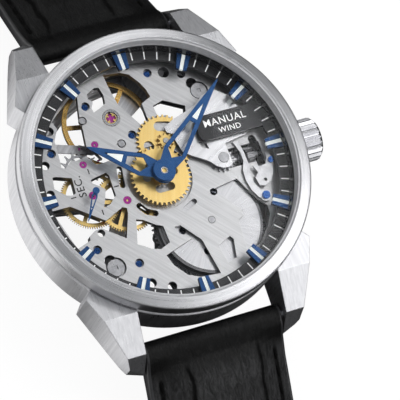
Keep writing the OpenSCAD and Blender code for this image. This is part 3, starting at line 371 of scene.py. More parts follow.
balanceCentre = (-3.7, 10.55)
barrelCentre = (5.2, -8.15)
crownWheelCentre = (10.4, 0)
# the bright edge colours below are painted highlights, and the wall colours are painted shade on steep faces
metals = {
    "caseBrushed": dict(
        light=steel(0.74), dark=steel(0.60), rough=(0.26, 0.40), lines="case", density=(11, 0.3, 4),
        flank=(9, 9, 0.35), bump=0.25, edge=0.22),
    "bezelBrushed": dict(
        light=steel(0.76), dark=steel(0.62), rough=(0.24, 0.36), lines="Ring", density=(12, 1.2, 1.2),
        bump=0.2, edge=0.45, anisotropic=0.4),
    "crownBrushed": dict(
        light=steel(0.62), dark=steel(0.5), rough=(0.18, 0.30), density=(1, 8, 8), bump=0.2, edge=0.06),
    "polishedSteel": dict(
        light=steel(0.80), dark=(0.70, 0.70, 0.73), rough=(0.10, 0.18), density=(4, 4, 4), bump=0.06,
        edge=0.04),
    "mainPlateGrain": dict(
        light=(0.68, 0.68, 0.69), dark=(0.56, 0.56, 0.57), rough=(0.32, 0.44), density=(13, 0.5, 1),
        turn=-42, bump=0.5, edgeHighlight=steel(0.86), wallShade=(0.10, 0.10, 0.11)),
    "bridgeGrain": dict(
        light=steel(0.62), dark=steel(0.44), rough=(0.30, 0.46), density=(13, 0.5, 1), turn=48,
        bump=0.4, wallShade=(0.10, 0.10, 0.11)),
    "coverGrain": dict(
        light=steel(0.86), dark=steel(0.70), rough=(0.24, 0.36), density=(5, 0.2, 1), turn=62, bump=0.3,
        wallShade=(0.16, 0.16, 0.17)),
    "mirrorCover": dict(
        light=steel(0.74), dark=steel(0.60), rough=(0.30, 0.42), density=(3, 3, 3), bump=0.04,
        edge=0.06, wallShade=(0.12, 0.12, 0.13)),
    "satinSteel": dict(
        light=steel(0.52), dark=steel(0.38), rough=(0.26, 0.38), edge=0.04, edgeHighlight=steel(0.8),
        wallShade=(0.14, 0.14, 0.15)),
    "barrelSunray": dict(
        light=steel(0.70), dark=steel(0.58), rough=(0.26, 0.44), lines="Ray", density=(70, 70, 0.5),
        centre=barrelCentre, bump=0.8, depth=0.012, wallShade=(0.05, 0.05, 0.055)),
    "barrelTeeth": dict(
        light=(0.20, 0.20, 0.21), dark=(0.12, 0.12, 0.125), rough=(0.24, 0.4), lines="Ring",
        density=(8, 1, 1), centre=barrelCentre, edgeHighlight=steel(0.8)),
    "crownWheelRings": dict(
        light=steel(0.78), dark=steel(0.55), rough=(0.2, 0.34), lines="Ring", density=(7, 1, 1),
        centre=crownWheelCentre, bump=0.4),
    "gilt": dict(
        light=(1.0, 0.74, 0.30), dark=(0.95, 0.66, 0.23), rough=(0.28, 0.38), density=(9, 0.3, 1),
        turn=20, bump=0.2, edgeHighlight=(1.0, 0.80, 0.42), wallShade=(0.30, 0.17, 0.04)),
    "shockSetting": dict(
        light=(0.95, 0.68, 0.26), dark=(0.85, 0.56, 0.18), rough=(0.2, 0.3), lines="Ring",
        density=(6, 1, 1), centre=balanceCentre, bump=0.2, edge=0.04, outer=(0.82, steel(0.42)),
        wallShade=(0.10, 0.07, 0.03)),
    "balanceGilt": dict(
        light=(0.92, 0.62, 0.22), dark=(0.74, 0.44, 0.12), rough=(0.16, 0.28), lines="Ring",
        density=(8, 0.6, 0.6), centre=balanceCentre, bump=0.3),
    "blued": dict(
        light=(0.034, 0.110, 0.29), dark=(0.028, 0.092, 0.25), rough=(0.34, 0.44), edge=0.04,
        edgeHighlight=(0.06, 0.17, 0.40), metallic=0.8),
    "bluedIndex": dict(
        light=(0.026, 0.085, 0.23), dark=(0.020, 0.066, 0.19), rough=(0.28, 0.38),
        edgeHighlight=(0.05, 0.14, 0.34), metallic=0.8, wallShade=(0.008, 0.02, 0.06)),
    "bluedScrew": dict(
        light=(0.03, 0.10, 0.30), dark=(0.02, 0.06, 0.2), rough=(0.14, 0.26),
        edgeHighlight=(0.10, 0.24, 0.55)),
    "springSteel": dict(
        light=(0.34, 0.36, 0.42), dark=(0.22, 0.23, 0.28), rough=(0.2, 0.32), density=(4, 4, 4),
        edge=0.02),
    "darkRing": dict(
        light=(0.060, 0.060, 0.063), dark=(0.056, 0.056, 0.059), rough=(0.38, 0.44), lines="Ring",
        density=(6, 3, 3), bump=0.02, edge=0.02, metallic=0.85),
    "darkFlange": dict(
        light=(0.020, 0.020, 0.022), dark=(0.012, 0.012, 0.013), rough=(0.10, 0.16), lines="Ring",
        density=(2, 1, 1), bump=0.0, edge=0.005, metallic=0.2),
}
made = {name: metal(name, look) for name, look in metals.items()}
print("metals made:", len(made))


# glass, ruby, paint
def plain(name, look):
    material, tree = newMaterial(name)
    wiped = useGroup(tree, wipeGroup, {"Size": look.get("cloud", 1.2)})
    edges = useGroup(tree, edgeGroup, {"Radius": look.get("edge", 0.04) * mm})
    body = mixColour(tree, spread(tree, wiped.outputs[0], 0, 1), (*look["dark"], 1), (*look["light"], 1))
    # painted highlight: edges and corners get a lighter colour where they would catch the light
    colour = mixColour(tree, edges.outputs["Mask"], body, (*look.get("edgeHighlight", look["light"]), 1))
    rough = spread(tree, wiped.outputs[0], *look["rough"])
    bump = addNode(tree, "Bump", {"Strength": look.get("bump", 0.1), "Distance": 0.01 * mm,
                                  "Height": wiped.outputs[0], "Normal": edges.outputs["Normal"]})
    inputs = {"Base Color": colour, "Roughness": rough, "Normal": bump.outputs[0]}
    inputs.update(look.get("sockets", {}))
    shader = addNode(tree, "BsdfPrincipled", inputs)
    addNode(tree, "OutputMaterial", {0: shader.outputs[0]})
    return material


paints = {
    # painted light: an emission brightens the lume beyond what the lamps give
    "lume": dict(
        light=(0.95, 0.96, 0.95), dark=(0.84, 0.86, 0.85), rough=(0.5, 0.7), bump=0.3, cloud=9,
        sockets={"Emission Color": (0.9, 1, 0.95, 1), "Emission Strength": 0.30}),
    # painted light: an emission makes the print glow, though it is no lamp
    "whitePrint": dict(
        light=(0.96, 0.96, 0.96), dark=(0.88, 0.88, 0.88), rough=(0.4, 0.5), cloud=6,
        sockets={"Emission Color": (1, 1, 1, 1), "Emission Strength": 0.30}),
    "blackPrint": dict(
        light=(0.02, 0.02, 0.02), dark=(0.01, 0.01, 0.01), rough=(0.4, 0.5), cloud=6),
    "gasketWhite": dict(
        light=(0.7, 0.7, 0.72), dark=(0.55, 0.55, 0.57), rough=(0.4, 0.5)),
    "ruby": dict(
        light=(0.56, 0.05, 0.40), dark=(0.36, 0.02, 0.26), rough=(0.06, 0.14), cloud=3,
        edgeHighlight=(0.80, 0.22, 0.66), sockets={"Coat Weight": 0.6, "Coat Roughness": 0.03}),
}
made.update({name: plain(name, look) for name, look in paints.items()})

# the glass is a thin mirror: almost clear, with faint reflections
glass = {"tint": (0.96, 0.98, 1, 1), "rough": (0.01, 0.03), "alpha": 0.007, "cloud": 0.15}
material, tree = newMaterial("sapphire")
wiped = useGroup(tree, wipeGroup, {"Size": glass["cloud"]})
glassRough = spread(tree, wiped.outputs[0], *glass["rough"])
shader = addNode(tree, "BsdfPrincipled", {
    "Base Color": glass["tint"], "Metallic": 1.0, "Roughness": glassRough, "Alpha": glass["alpha"]})
addNode(tree, "OutputMaterial", {0: shader.outputs[0]})
made["sapphire"] = material

# materials on the CAD nodes
dress = {
    "caseBrushed": "case_body buckle_frame",
    "bezelBrushed": "bezel case_back",
    "crownBrushed": "crown buckle_tongue",
    "polishedSteel": "spring_bars crown_tube stem cannon_pinion buckle_bar click",
    "satinSteel": "plate_pins keyless_pinions barrel_arbor intermediate_wheel setting_wheel escape_wheel "
                  "pallet_fork movement_ring",
    "mainPlateGrain": "main_plate",
    "bridgeGrain": "train_bridge barrel_bridge balance_cock pallet_bridge",
    "coverGrain": "keyless_cover",
    "mirrorCover": "setting_cover yoke",
    "barrelSunray": "barrel_cover ratchet_wheel",
    "barrelTeeth": "barrel_drum",
    "crownWheelRings": "crown_wheel",
    "gilt": "centre_wheel hour_wheel minute_wheel third_wheel fourth_wheel",
    "shockSetting": "shock_settings",
    "balanceGilt": "balance_wheel",
    "springSteel": "mainspring hairspring",
    "blued": "hour_hand minute_hand seconds_hand",
    "bluedIndex": "hour_indexes",
    "bluedScrew": "blue_screws",
    "lume": "index_lume hour_lume minute_lume",
    "ruby": "jewels pallet_stones",
    "darkRing": "dial_ring",
    "darkFlange": "flange_ring",
    "gasketWhite": "crystal_gaskets",
    "sapphire": "front_crystal back_crystal",
}
for name, nodes in dress.items():
    for node in nodes.split():
        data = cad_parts[node].data
        data.materials.clear()
        data.materials.append(made[name])
print("CAD nodes dressed")


# helpers for new surfaces
def gridFaces(rows, columns, wrapRows=False):
    # quads between neighbouring rows of a grid whose columns close on themselves
    r = np.arange(rows if wrapRows else rows - 1)[:, None]
    c = np.arange(columns)[None, :]
    up, along = (r + 1) % rows, (c + 1) % columns
    quads = np.stack([r * columns + c, r * columns + along, up * columns + along, up * columns + c], -1)
    return quads.reshape(-1, 4)


def makePiece(name, points, faces, body, materials, corners=None, pick=None, smooth=True, wear=None):
    # points in millimetres; corners and the painted shade are (u, v) pairs for each point, pick is a material
    # number for each face; without shade pairs every point gets 0.5 in both, which on the leather paints the
    # whole piece in the dark dip colour
    mesh = bpy.data.meshes.new(name)
    mesh.from_pydata((np.asarray(points, float) * mm).tolist(), [], [list(map(int, f)) for f in faces])
    if corners is not None:
        layer = mesh.uv_layers.new(name="surface")
        index = np.zeros(len(mesh.loops), np.int32)
        mesh.loops.foreach_get("vertex_index", index)
        layer.data.foreach_set("uv", np.asarray(corners, np.float32)[index].ravel())
        wearAndShade = mesh.uv_layers.new(name="wear")
        pairs = np.zeros((len(points), 2)) + 0.5 if wear is None else wear
        wearAndShade.data.foreach_set("uv", np.asarray(pairs, np.float32)[index].ravel())
    for m in materials:
        mesh.materials.append(made[m])
    if pick is not None:
        mesh.polygons.foreach_set("material_index", np.asarray(pick, np.int32))
    mesh.polygons.foreach_set("use_smooth", np.full(len(mesh.polygons), smooth))
    faceOutwards(mesh)
    mesh.update()
    piece = newObject(name, mesh)
    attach(piece, body)
    return piece


boxSides = np.array([[3, 2, 1, 0], [4, 5, 6, 7], [0, 1, 5, 4], [1, 2, 6, 5], [2, 3, 7, 6], [3, 0, 4, 7]])


def boxes(centres, sizes, turns, low, high):
    # upright boxes: each centre (x, y), size (along, across), turned about Z, between two heights
    corner = np.array([[-1, -1], [1, -1], [1, 1], [-1, 1]]) * 0.5
    flat = corner[None] * np.asarray(sizes, float)[:, None, :]
    c, s = np.cos(turns)[:, None], np.sin(turns)[:, None]
    x = flat[..., 0] * c - flat[..., 1] * s + np.asarray(centres)[:, None, 0]
    y = flat[..., 0] * s + flat[..., 1] * c + np.asarray(centres)[:, None, 1]
    points = np.concatenate([np.stack([x, y, np.full_like(x, z)], -1) for z in (low, high)], 1)
    faces = boxSides[None] + 8 * np.arange(len(x))[:, None, None]
    return points.reshape(-1, 3), faces.reshape(-1, 4)


# printing on the dial parts; levels count from the top of the minute ring
printing = {
    "tickInner": 17.72,
    "tickOuter": 18.92,
    "tickWide": 0.17,
    "tickLevels": (-0.005, 0.012),
    "markSize": (0.8, 0.16),
    "markLevels": (-1.805, -1.788),  # on the main plate
    "marks": [(-9.8, 3.6, 90), (-13.25, 0.4, 0), (-6.65, 0.4, 0), (-9.9, -2.8, 90)],  # x, y, turn in degrees
    "letterSize": 1.38,  # font size over the height of a capital
    "letterSpace": 1.12,
    "letterThick": 0.006,
    "letterBold": 0.012,
    "words": [  # name, text, x, y, height, turn in degrees, level, material, slot
        ("plateWord0", "MANUAL", 11.95, 5.4, 1.12, 0, 0.008, "whitePrint", "lume"),
        ("plateWord1", "WIND", 12.3, 3.95, 0.86, 0, 0.008, "whitePrint", "lume"),
        ("secondsWord", "SEC.", -11.75, 1.75, 1.15, 90, -1.794, "blackPrint", "dial"),
    ],
}


def levels(pair):
    return dialZ + pair[0], dialZ + pair[1]


angles = np.radians([6 * k for k in range(60) if k % 5])  # the hours have applied indexes instead
middle = (printing["tickInner"] + printing["tickOuter"]) / 2
centres = np.stack([np.cos(angles), np.sin(angles)], 1) * middle
sizes = np.tile([printing["tickOuter"] - printing["tickInner"], printing["tickWide"]], (len(angles), 1))
points, faces = boxes(centres, sizes, angles, *levels(printing["tickLevels"]))
makePiece("minuteTicks", points, faces, "case", ["whitePrint"], smooth=False)

marks = np.array(printing["marks"])
points, faces = boxes(marks[:, :2], [printing["markSize"]] * len(marks), np.radians(marks[:, 2]),
                      *levels(printing["markLevels"]))
makePiece("secondsMarks", points, faces, "case", ["blackPrint"], smooth=False)


def word(name, text, x, y, height, turn, level, material, slot):
    curve = bpy.data.curves.new(name, "FONT")
    curve.body = text
    curve.size = height * printing["letterSize"]  # a thousand times too large until its points are placed
    curve.align_x, curve.align_y = "CENTER", "CENTER"
    curve.space_character = printing["letterSpace"]
    curve.extrude = printing["letterThick"]
    curve.offset = printing["letterBold"]
    curve.resolution_u = 4
    helper = newObject(name, curve)
    bpy.context.view_layer.update()
    mesh = bpy.data.meshes.new_from_object(helper.evaluated_get(bpy.context.evaluated_depsgraph_get()))
    bpy.data.objects.remove(helper)
    co = np.zeros(len(mesh.vertices) * 3)
    mesh.vertices.foreach_get("co", co)
    co = co.reshape(-1, 3)
    c, s = math.cos(math.radians(turn)), math.sin(math.radians(turn))
    placed = np.stack([co[:, 0] * c - co[:, 1] * s + x, co[:, 0] * s + co[:, 1] * c + y,
                       co[:, 2] + dialZ + level], 1) * mm
    mesh.vertices.foreach_set("co", placed.ravel())
    mesh.materials.clear()
    mesh.materials.append(made[material])
    mesh.update()
    piece = newObject(name, mesh)
    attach(piece, "case")


for row in printing["words"]:
    word(*row)
print("dial printing made")

# both strap halves; x runs across the strap, s is the arc length from the spring bar
strap = {
    "shoulder": 10.75,  # half widths at the lugs and at the buckle
    "end": 10.0,
    "taper": (9, 55),
    "tipLong": 10,
    "tipPower": 2.4,
    "pad": [(-2, 3.2), (0.6, 3.2), (2.4, 3.0), (4.2, 3.7), (7.5, 4.2), (15, 4.15), (45, 3.1), (118, 2.6)],
    "edge": [(-2, 3.1), (1.0, 3.1), (3.0, 2.4), (6.0, 2.0), (45, 1.95), (118, 2.0)],
    "endThick": 2.6,
    "endFrom": (66, 74),  # where the buckle half comes down to it
    "crown": (0.42, 0.90),  # shares of the half width where the padding starts and stops falling
    "cornerTop": 0.42,
    "cornerBack": 0.28,
    "stitchIn": 1.75,
    "stitchPitch": 2.7,
    "stitchLong": 2.0,
    "stitchThick": 0.26,
    "stitchFirst": 5.4,
    "stitchLean": 0.22,
    "stitchSag": 0.16,
    "stitchLift": 0.06,
    "grooveWide": 0.38,
    "grooveDeep": 0.12,
}
# borders of the scales along the strap: x, wander, phase; rows across it: s, phase; the kept share of the
# leather colour is painted shade, low on the strap_12 half so it stays dark
halves = {
    "12": dict(
        length=76.0, up=3.0, side=1, body="strap_12", borders=[(-6.9, 0.35, 0.4), (3.1, 0.5, 1.3)],
        rows=[(19, 1), (34, 2), (48, 3), (61, 4)], seed=3, litShare=0.2, stitchEnd=4.5,
        end=dict(start=0.0, long=1.3, round=1.3, trim=(0.05, 0.08), count=6, clear=0.2)),
    "6": dict(
        length=118.0, up=0.0, side=-1, body="strap_6", borders=[(-5.2, 0.35, 0.2), (6.3, 0.4, 2.2)],
        rows=[(21, 1), (37, 2), (52, 3), (66, 4), (80, 5), (93, 6), (105, 7)], seed=8, litShare=1.0,
        stitchEnd=11.5,
        end=dict(start=-0.7, long=0.72, round=0.75, trim=(0.1, 0.03), count=8, clear=0.75)),
}
# the crocodile grain: cracks in shallow valleys, then fine folds
croc = {
    "crackWide": 0.24,
    "valleyWide": 0.75,
    "valleyDeep": 0.35,
    "rowCrackWide": 0.26,
    "rowValleyWide": 0.9,
    "rowValleyDeep": 0.3,
    "rowFade": 0.6,  # rows end this near the borders
    "sidePitch": 7.4,
    "sideDeep": 0.8,
    "sideFade": (0.2, 1.4),
    "sideFrom": (15.5, 17.5),  # the first side scales by the lugs are long and smooth
    "sideShift": {-1: 4.6, 1: 2.1},
    "sideLean": 0.27,
    "folds": ((0.55, 0.05, 0.4), (0.9, 0.08, 1.9), (1.45, 0.03, 3.1), (2.3, 0.11, 0.7)),
    "foldHigh": 0.075,
    "foldLow": 0.25,  # share that is left at the sides
    "foldWide": 3.2,
    "deep": 0.42,
}
# how finely a strap half is meshed
fineness = {
    "grain": 93,
    "corner": 4,
    "lining": 23,
    "nose": 7,
    "step": 0.30,
    "crowd": 0.985,  # how near a quarter turn the sine goes that crowds points to the edges
    "even": 0.65,  # share of even spacing
}


def along(s, up):
    # underside point (y, z) and slope: straight down at the droop angle, then an arc, then straight again
    rise, bend, up = lie["rise"], lie["bend"], math.radians(up)
    bendEnd = rise + bend * (droop + up)
    slope = np.clip(droop - (s - rise) / bend, -up, droop)
    startY = lie["barY"] - lie["loop"] * math.sin(droop)
    startZ = barZ - lie["loop"] * math.cos(droop)
    first = np.minimum(s, rise)
    y = startY + first * math.cos(droop) + bend * (math.sin(droop) - np.sin(slope))
    z = startZ - first * math.sin(droop) + bend * (math.cos(droop) - np.cos(slope))
    last = np.maximum(s - bendEnd, 0)
    return y + last * math.cos(up), z + last * math.sin(up), slope


def ease(low, high, x):
    t = np.clip((x - low) / (high - low), 0, 1)
    return t * t * (3 - 2 * t)


def bell(distance, wide):
    return np.exp(-(distance / wide) ** 2)


def wave(t, high, rate, phase):
    return high * np.sin(t * rate + phase)


def halfWidth(s, half):
    # parallel by the lugs, tapering to the middle, then parallel; the holed half ends in a rounded tip
    w = strap["shoulder"] + (strap["end"] - strap["shoulder"]) * ease(*strap["taper"], s)
    if half["side"] < 0:
        t = np.clip((s - (half["length"] - strap["tipLong"])) / strap["tipLong"], 0, 0.9995)
        w = w * (1 - t ** strap["tipPower"]) ** 0.5
    return w


def crocRelief(x, s, half):
    # long wandering borders, cross borders in the middle, short ones at the sides; returns height and depth
    depth = np.zeros(np.broadcast(x, s).shape)
    for place, wander, phase in half["borders"]:
        away = x - (place + wave(s, wander, 0.21, phase) + wave(s, 0.14, 1.3, phase * 3))
        depth = np.maximum(depth, bell(away, croc["crackWide"]))
        depth = np.maximum(depth, croc["valleyDeep"] * bell(away, croc["valleyWide"]))
    left, right = min(b[0] for b in half["borders"]), max(b[0] for b in half["borders"])
    fade = croc["rowFade"]
    inside = ease(left - fade, left + fade, x) * (1 - ease(right - fade, right + fade, x))
    for place, phase in half["rows"]:
        away = s - (place + wave(x, 0.9, 0.33, phase) + wave(x, 0.2, 1.7, phase * 2))
        depth = np.maximum(depth, inside * bell(away, croc["rowCrackWide"]))
        depth = np.maximum(depth, inside * croc["rowValleyDeep"] * bell(away, croc["rowValleyWide"]))
    pitch = croc["sidePitch"]
    later = ease(*croc["sideFrom"], s)
    for border, sign in ((left, -1), (right, 1)):
        outside = ease(*croc["sideFade"], sign * (x - border))
        shifted = s + croc["sideLean"] * np.abs(x - border) ** 1.2 + croc["sideShift"][sign]
        near = np.abs((shifted + pitch / 2) % pitch - pitch / 2)
        depth = np.maximum(depth, later * outside * croc["sideDeep"] * bell(near, croc["rowCrackWide"]))
    fold = 0
    for k, (across, length, phase) in enumerate(croc["folds"]):
        bent = x * across * 3.1 + wave(s, 1.7, length * 3, phase)
        fold = fold + wave(bent, 1 / (k + 1.2), 1, phase * half["seed"])  # each finer set is lower
    middle = bell(x - (left + right) / 2, croc["foldWide"])
    return croc["foldHigh"] * fold * (croc["foldLow"] + middle) - croc["deep"] * depth, depth


def topHeight(x, s, half):
    # height of the grain side over the lining: thin edge, then a padded crown, less the stitch groove and the
    # scales; also the edge's height and the painted shade for the dips: the cracks and the stitch groove
    length = half["length"]
    w = np.maximum(halfWidth(s, half), 0.2)
    thick = np.interp(s, *zip(*strap["pad"]))
    thick = thick + (strap["endThick"] - thick) * ease(*strap["endFrom"], s) * (half["side"] > 0)
    edge = np.minimum(np.interp(s, *zip(*strap["edge"])), thick - 0.05)
    share = np.clip(np.abs(x) / w, 0, 1)
    crown = 1 - ease(*strap["crown"], share)
    groove = bell(np.abs(x) - (w - strap["stitchIn"]), strap["grooveWide"])
    groove = groove * ease(3.5, 5.0, s) * (1 - ease(length - 3.5, length - 2.0, s))
    fade = ease(1.5, 4.5, s) * (1 - ease(length - 2.5, length, s)) * (1 - ease(0.93, 1.0, share))
    wearAndShade = 0.02 * np.sin(x * 2.1 + wave(x, 1.3, 0.9, 0)) * bell(s - 1.2, 1.6)  # where it rounds the bar
    relief, cracks = crocRelief(x, s, half)
    # painted shade: the cracks and the stitch groove are darkened where shade would fall in them
    dark = np.clip(np.maximum(fade * cracks, 0.8 * groove), 0, 1)
    return edge + (thick - edge) * crown - strap["grooveDeep"] * groove + fade * relief + wearAndShade, edge, dark


def section():
    # columns of the closed section: share of half width, inset, share of edge height, lift, grain side
    n, k = fineness["grain"], fineness["corner"]
    even, crowd = np.linspace(-1, 1, n), fineness["crowd"] * math.pi / 2
    grain = np.sin(even * crowd) / math.sin(crowd)
    grain = grain * (1 - fineness["even"]) + even * fineness["even"]
    top, back = np.linspace(math.pi / 2, 0, k + 1)[1:], np.linspace(0, -math.pi / 2, k)
    lining = np.linspace(1, -1, fineness["lining"] + 2)[1:-1]
    rt, rb = strap["cornerTop"], strap["cornerBack"]
    runs = [
        (grain, -grain * rt, 1, 0, 1),
        (1, rt * (np.cos(top) - 1), 1, rt * (np.sin(top) - 1), 0),
        (1, rb * (np.cos(back) - 1), 0, rb * (np.sin(back) + 1), 0),
        (lining, -lining * rb, 0, 0, 0),
        (-1, -rb * (np.cos(back[::-1]) - 1), 0, rb * (np.sin(back[::-1]) + 1), 0),
        (-1, -rt * (np.cos(top[::-1]) - 1), 1, rt * (np.sin(top[::-1]) - 1), 0),
    ]
    return np.concatenate([np.stack(np.broadcast_arrays(*run), -1) for run in runs]).T


def rounded(past, radius):
    # share of the thickness that is left in a rounded end
    return np.sqrt(np.clip(1 - (past / radius) ** 2, 0, 1))


def strapHalf(name, half):
    # the section carried along the underside path, with rounded ends
    length, end = half["length"], half["end"]
    nose = -lie["loop"] * np.cos(np.linspace(0.08, math.pi / 2, fineness["nose"]))
    fine = np.arange(0.25, length - 0.2, fineness["step"])
    fine = fine[fine < length - end["clear"]]
    turn = np.linspace(end["trim"][0], math.pi / 2 - end["trim"][1], end["count"])
    endAt = length + end["start"]
    s = np.concatenate([nose, fine, endAt + end["long"] * np.sin(turn)])
    across, inset, onEdge, lift, onGrain = section()
    grid, w = s[:, None], halfWidth(s, half)[:, None]
    x = across * w + inset * np.clip(w / 1.2, 0, 1)
    crown, edge, dark = topHeight(x, grid, half)
    h = np.where(onGrain > 0, crown, onEdge * edge + lift * np.clip(w / 1.2, 0, 1))
    mid = np.interp(s, *zip(*strap["pad"]))[:, None] / 2
    mid = np.where(grid > length - 3, strap["endThick"] / 2, mid)
    pinch = np.where(grid < 0, rounded(grid, lie["loop"]), 1.0)
    pinch = np.where(grid > endAt, rounded(grid - endAt, end["round"]), pinch)
    h = mid + (h - mid) * pinch
    y, z, slope = along(grid, half["up"])
    points = np.stack([x, (y + h * np.sin(slope)) * half["side"], z + h * np.cos(slope)], -1).reshape(-1, 3)
    count = len(across)
    faces = gridFaces(len(s), count).tolist()
    faces += [list(range(count))[::-1], list(range((len(s) - 1) * count, len(s) * count))]
    column = np.arange(count)
    liningFrom = fineness["grain"] + 2 * fineness["corner"]
    onLining = (column >= liningFrom) & (column <= liningFrom + fineness["lining"])
    row = np.where(column < fineness["grain"] - 1, 0, np.where(onLining, 1, 2))
    pick = np.concatenate([np.tile(row, len(s) - 1), [0, 0]])
    corners = np.stack(np.broadcast_arrays(x, grid), -1).reshape(-1, 2)
    # painted shade: the leather colour is darkened on the strap_12 half and by the lugs, where shade falls
    litShare = half["litShare"] * ease(2.8, 5.5, grid)
    wear = np.stack(np.broadcast_arrays(dark, litShare), -1).reshape(-1, 2)
    return makePiece(name, points, faces, half["body"], ["crocLeather", "lining", "edgePaint"],
                     corners=corners, pick=pick, wear=wear)


def stitches(name, half):
    # short capsules with a radius like the square root of a sine, each leaning a little off the line
    spots = np.arange(strap["stitchFirst"], half["length"] - half["stitchEnd"], strap["stitchPitch"])
    sign = np.repeat([1, -1], len(spots))[:, None, None]
    rows, sides = 7, 6
    t = np.linspace(0.03, 0.97, rows)[None, :, None]
    turn = np.arange(sides)[None, None, :] * 2 * math.pi / sides
    radius = strap["stitchThick"] * np.sqrt(np.sin(t * math.pi))
    s = np.tile(spots, 2)[:, None, None] + (t - 0.5) * strap["stitchLong"]
    line = sign * (halfWidth(s, half) - strap["stitchIn"]) + strap["stitchLean"] * (t - 0.5)
    x = line + radius * np.cos(turn)
    base, _, _ = topHeight(line, s, half)
    sag = strap["stitchSag"] * (2 * t - 1) ** 4
    h = base + strap["stitchLift"] - sag + radius * np.sin(turn)
    y, z, slope = along(s, half["up"])
    y = (y + h * np.sin(slope)) * half["side"]
    points = np.stack(np.broadcast_arrays(x, y, z + h * np.cos(slope)), -1)
    count, per = 2 * len(spots), rows * sides
    faces = (gridFaces(rows, sides)[None] + per * np.arange(count)[:, None, None]).reshape(-1, 4).tolist()
    for first in range(0, count * per, per):
        faces += [list(range(first, first + sides))[::-1], list(range(first + per - sides, first + per))]
    corners = np.stack(np.broadcast_arrays(turn + 0 * s, s + 0 * turn), -1).reshape(-1, 2)
    makePiece(name, points.reshape(-1, 3), faces, half["body"], ["thread"], corners=corners)


def cutWith(piece, cutters):
    # takes closed cutter meshes (points in mm, faces) out of a piece
    points, faces, base = [], [], 0
    for p, f in cutters:
        points.append(p)
        faces += [[int(i) + base for i in face] for face in f]
        base += len(p)
    mesh = bpy.data.meshes.new("cutter")
    mesh.from_pydata((np.concatenate(points) * mm).tolist(), [], faces)
    tool = newObject("cutter", mesh)
    faceOutwards(mesh)
    modifier = piece.modifiers.new("cut", "BOOLEAN")
    modifier.operation, modifier.solver, modifier.object = "DIFFERENCE", "EXACT", tool
    bpy.context.view_layer.update()
    result = bpy.data.meshes.new_from_object(piece.evaluated_get(bpy.context.evaluated_depsgraph_get()))
    piece.modifiers.clear()
    piece.data = result
    bpy.data.objects.remove(tool)


def rodCutter(start, end, radius, count=32):
    # closed cylinder between two points
    start, end = np.array(start, float), np.array(end, float)
    way = (end - start) / np.linalg.norm(end - start)
    side = np.cross(way, [0.3, 0.5, 0.81])  # any direction off the axis
    side /= np.linalg.norm(side)
    other = np.cross(way, side)
    turn = np.arange(count) * 2 * math.pi / count
    circle = radius * (np.cos(turn)[:, None] * side + np.sin(turn)[:, None] * other)
    points = np.concatenate([start + circle, end + circle])
    faces = gridFaces(2, count).tolist() + [list(range(count)), list(range(count, 2 * count))[::-1]]
    return points, faces


def leatherMaterial(name, look):
    # the UV layer "surface" holds x and s in mm; the second layer holds painted shade: how dark a place in a
    # dip (crack or stitch groove) is, and how much of the colour is kept, low on the strap_12 half and by the
    # lugs
    material, tree = newMaterial(name)
    spot = addNode(tree, "UVMap", uv_map="surface")
    scaled = addNode(tree, "VectorMath", {0: spot.outputs[0], 1: look["stretch"]}, operation="MULTIPLY")
    wrinkle = addNode(tree, "TexNoise", {"Vector": scaled.outputs[0], "Scale": 1.0, "Detail": 5.0,
                                         "Roughness": 0.62, "Distortion": look.get("twist", 0.8)})
    cells = addNode(tree, "TexVoronoi", {"Vector": spot.outputs[0], "Scale": look["cells"]},
                    feature="DISTANCE_TO_EDGE")
    crack = spread(tree, cells.outputs[0], 0.0, 1.0, 0.0, 0.12)
    pores = addNode(tree, "TexNoise", {"Vector": spot.outputs[0], "Scale": look["pores"], "Detail": 2.0})
    folded = calc(tree, "MULTIPLY", wrinkle.outputs[0], 0.55)
    crackled = calc(tree, "MULTIPLY_ADD", crack, look["crackle"], folded.outputs[0])
    pored = calc(tree, "MULTIPLY_ADD", pores.outputs[0], 0.18, crackled.outputs[0])
    wiped = useGroup(tree, wipeGroup, {"Size": 0.25})
    light, dark, deep = [(*look[key], 1) for key in ("light", "dark", "crack")]
    body = mixColour(tree, spread(tree, wrinkle.outputs[0], 0, 1, 0.36, 0.74), dark, light)
    wearAndShade = addNode(tree, "UVMap", uv_map="wear")
    cracks = addNode(tree, "SeparateXYZ", {0: wearAndShade.outputs[0]})
    # painted shade: the second channel darkens the colour toward the crack colour on the strap_12 half and by
    # the lugs
    body = mixColour(tree, cracks.outputs[1], deep, body)
    # painted shade in the cracks and the stitch groove
    body = mixColour(tree, spread(tree, cracks.outputs[0], 0, 1, 0.12, 0.5), body, deep)
    rough = spread(tree, wrinkle.outputs[0], look["rough"][1], look["rough"][0], 0.3, 0.7)
    dull = spread(tree, cracks.outputs[0], 1.0, 2.6, 0.1, 0.6)  # dips don't shine
    soft = calc(tree, "MULTIPLY", rough, dull)
    cloudy = spread(tree, wiped.outputs[0], 0.9, 1.12)
    marked = calc(tree, "MULTIPLY", soft.outputs[0], cloudy, use_clamp=True)
    bump = addNode(tree, "Bump", {"Strength": look["bump"], "Distance": look["depth"] * mm,
                                  "Height": pored.outputs[0]})
    shader = addNode(tree, "BsdfPrincipled", {
        "Base Color": body, "Roughness": marked.outputs[0], "Normal": bump.outputs[0],
        "Specular IOR Level": look.get("gloss", 0.5), "Sheen Weight": look.get("sheen", 0.0)})
    addNode(tree, "OutputMaterial", {0: shader.outputs[0]})
    return material


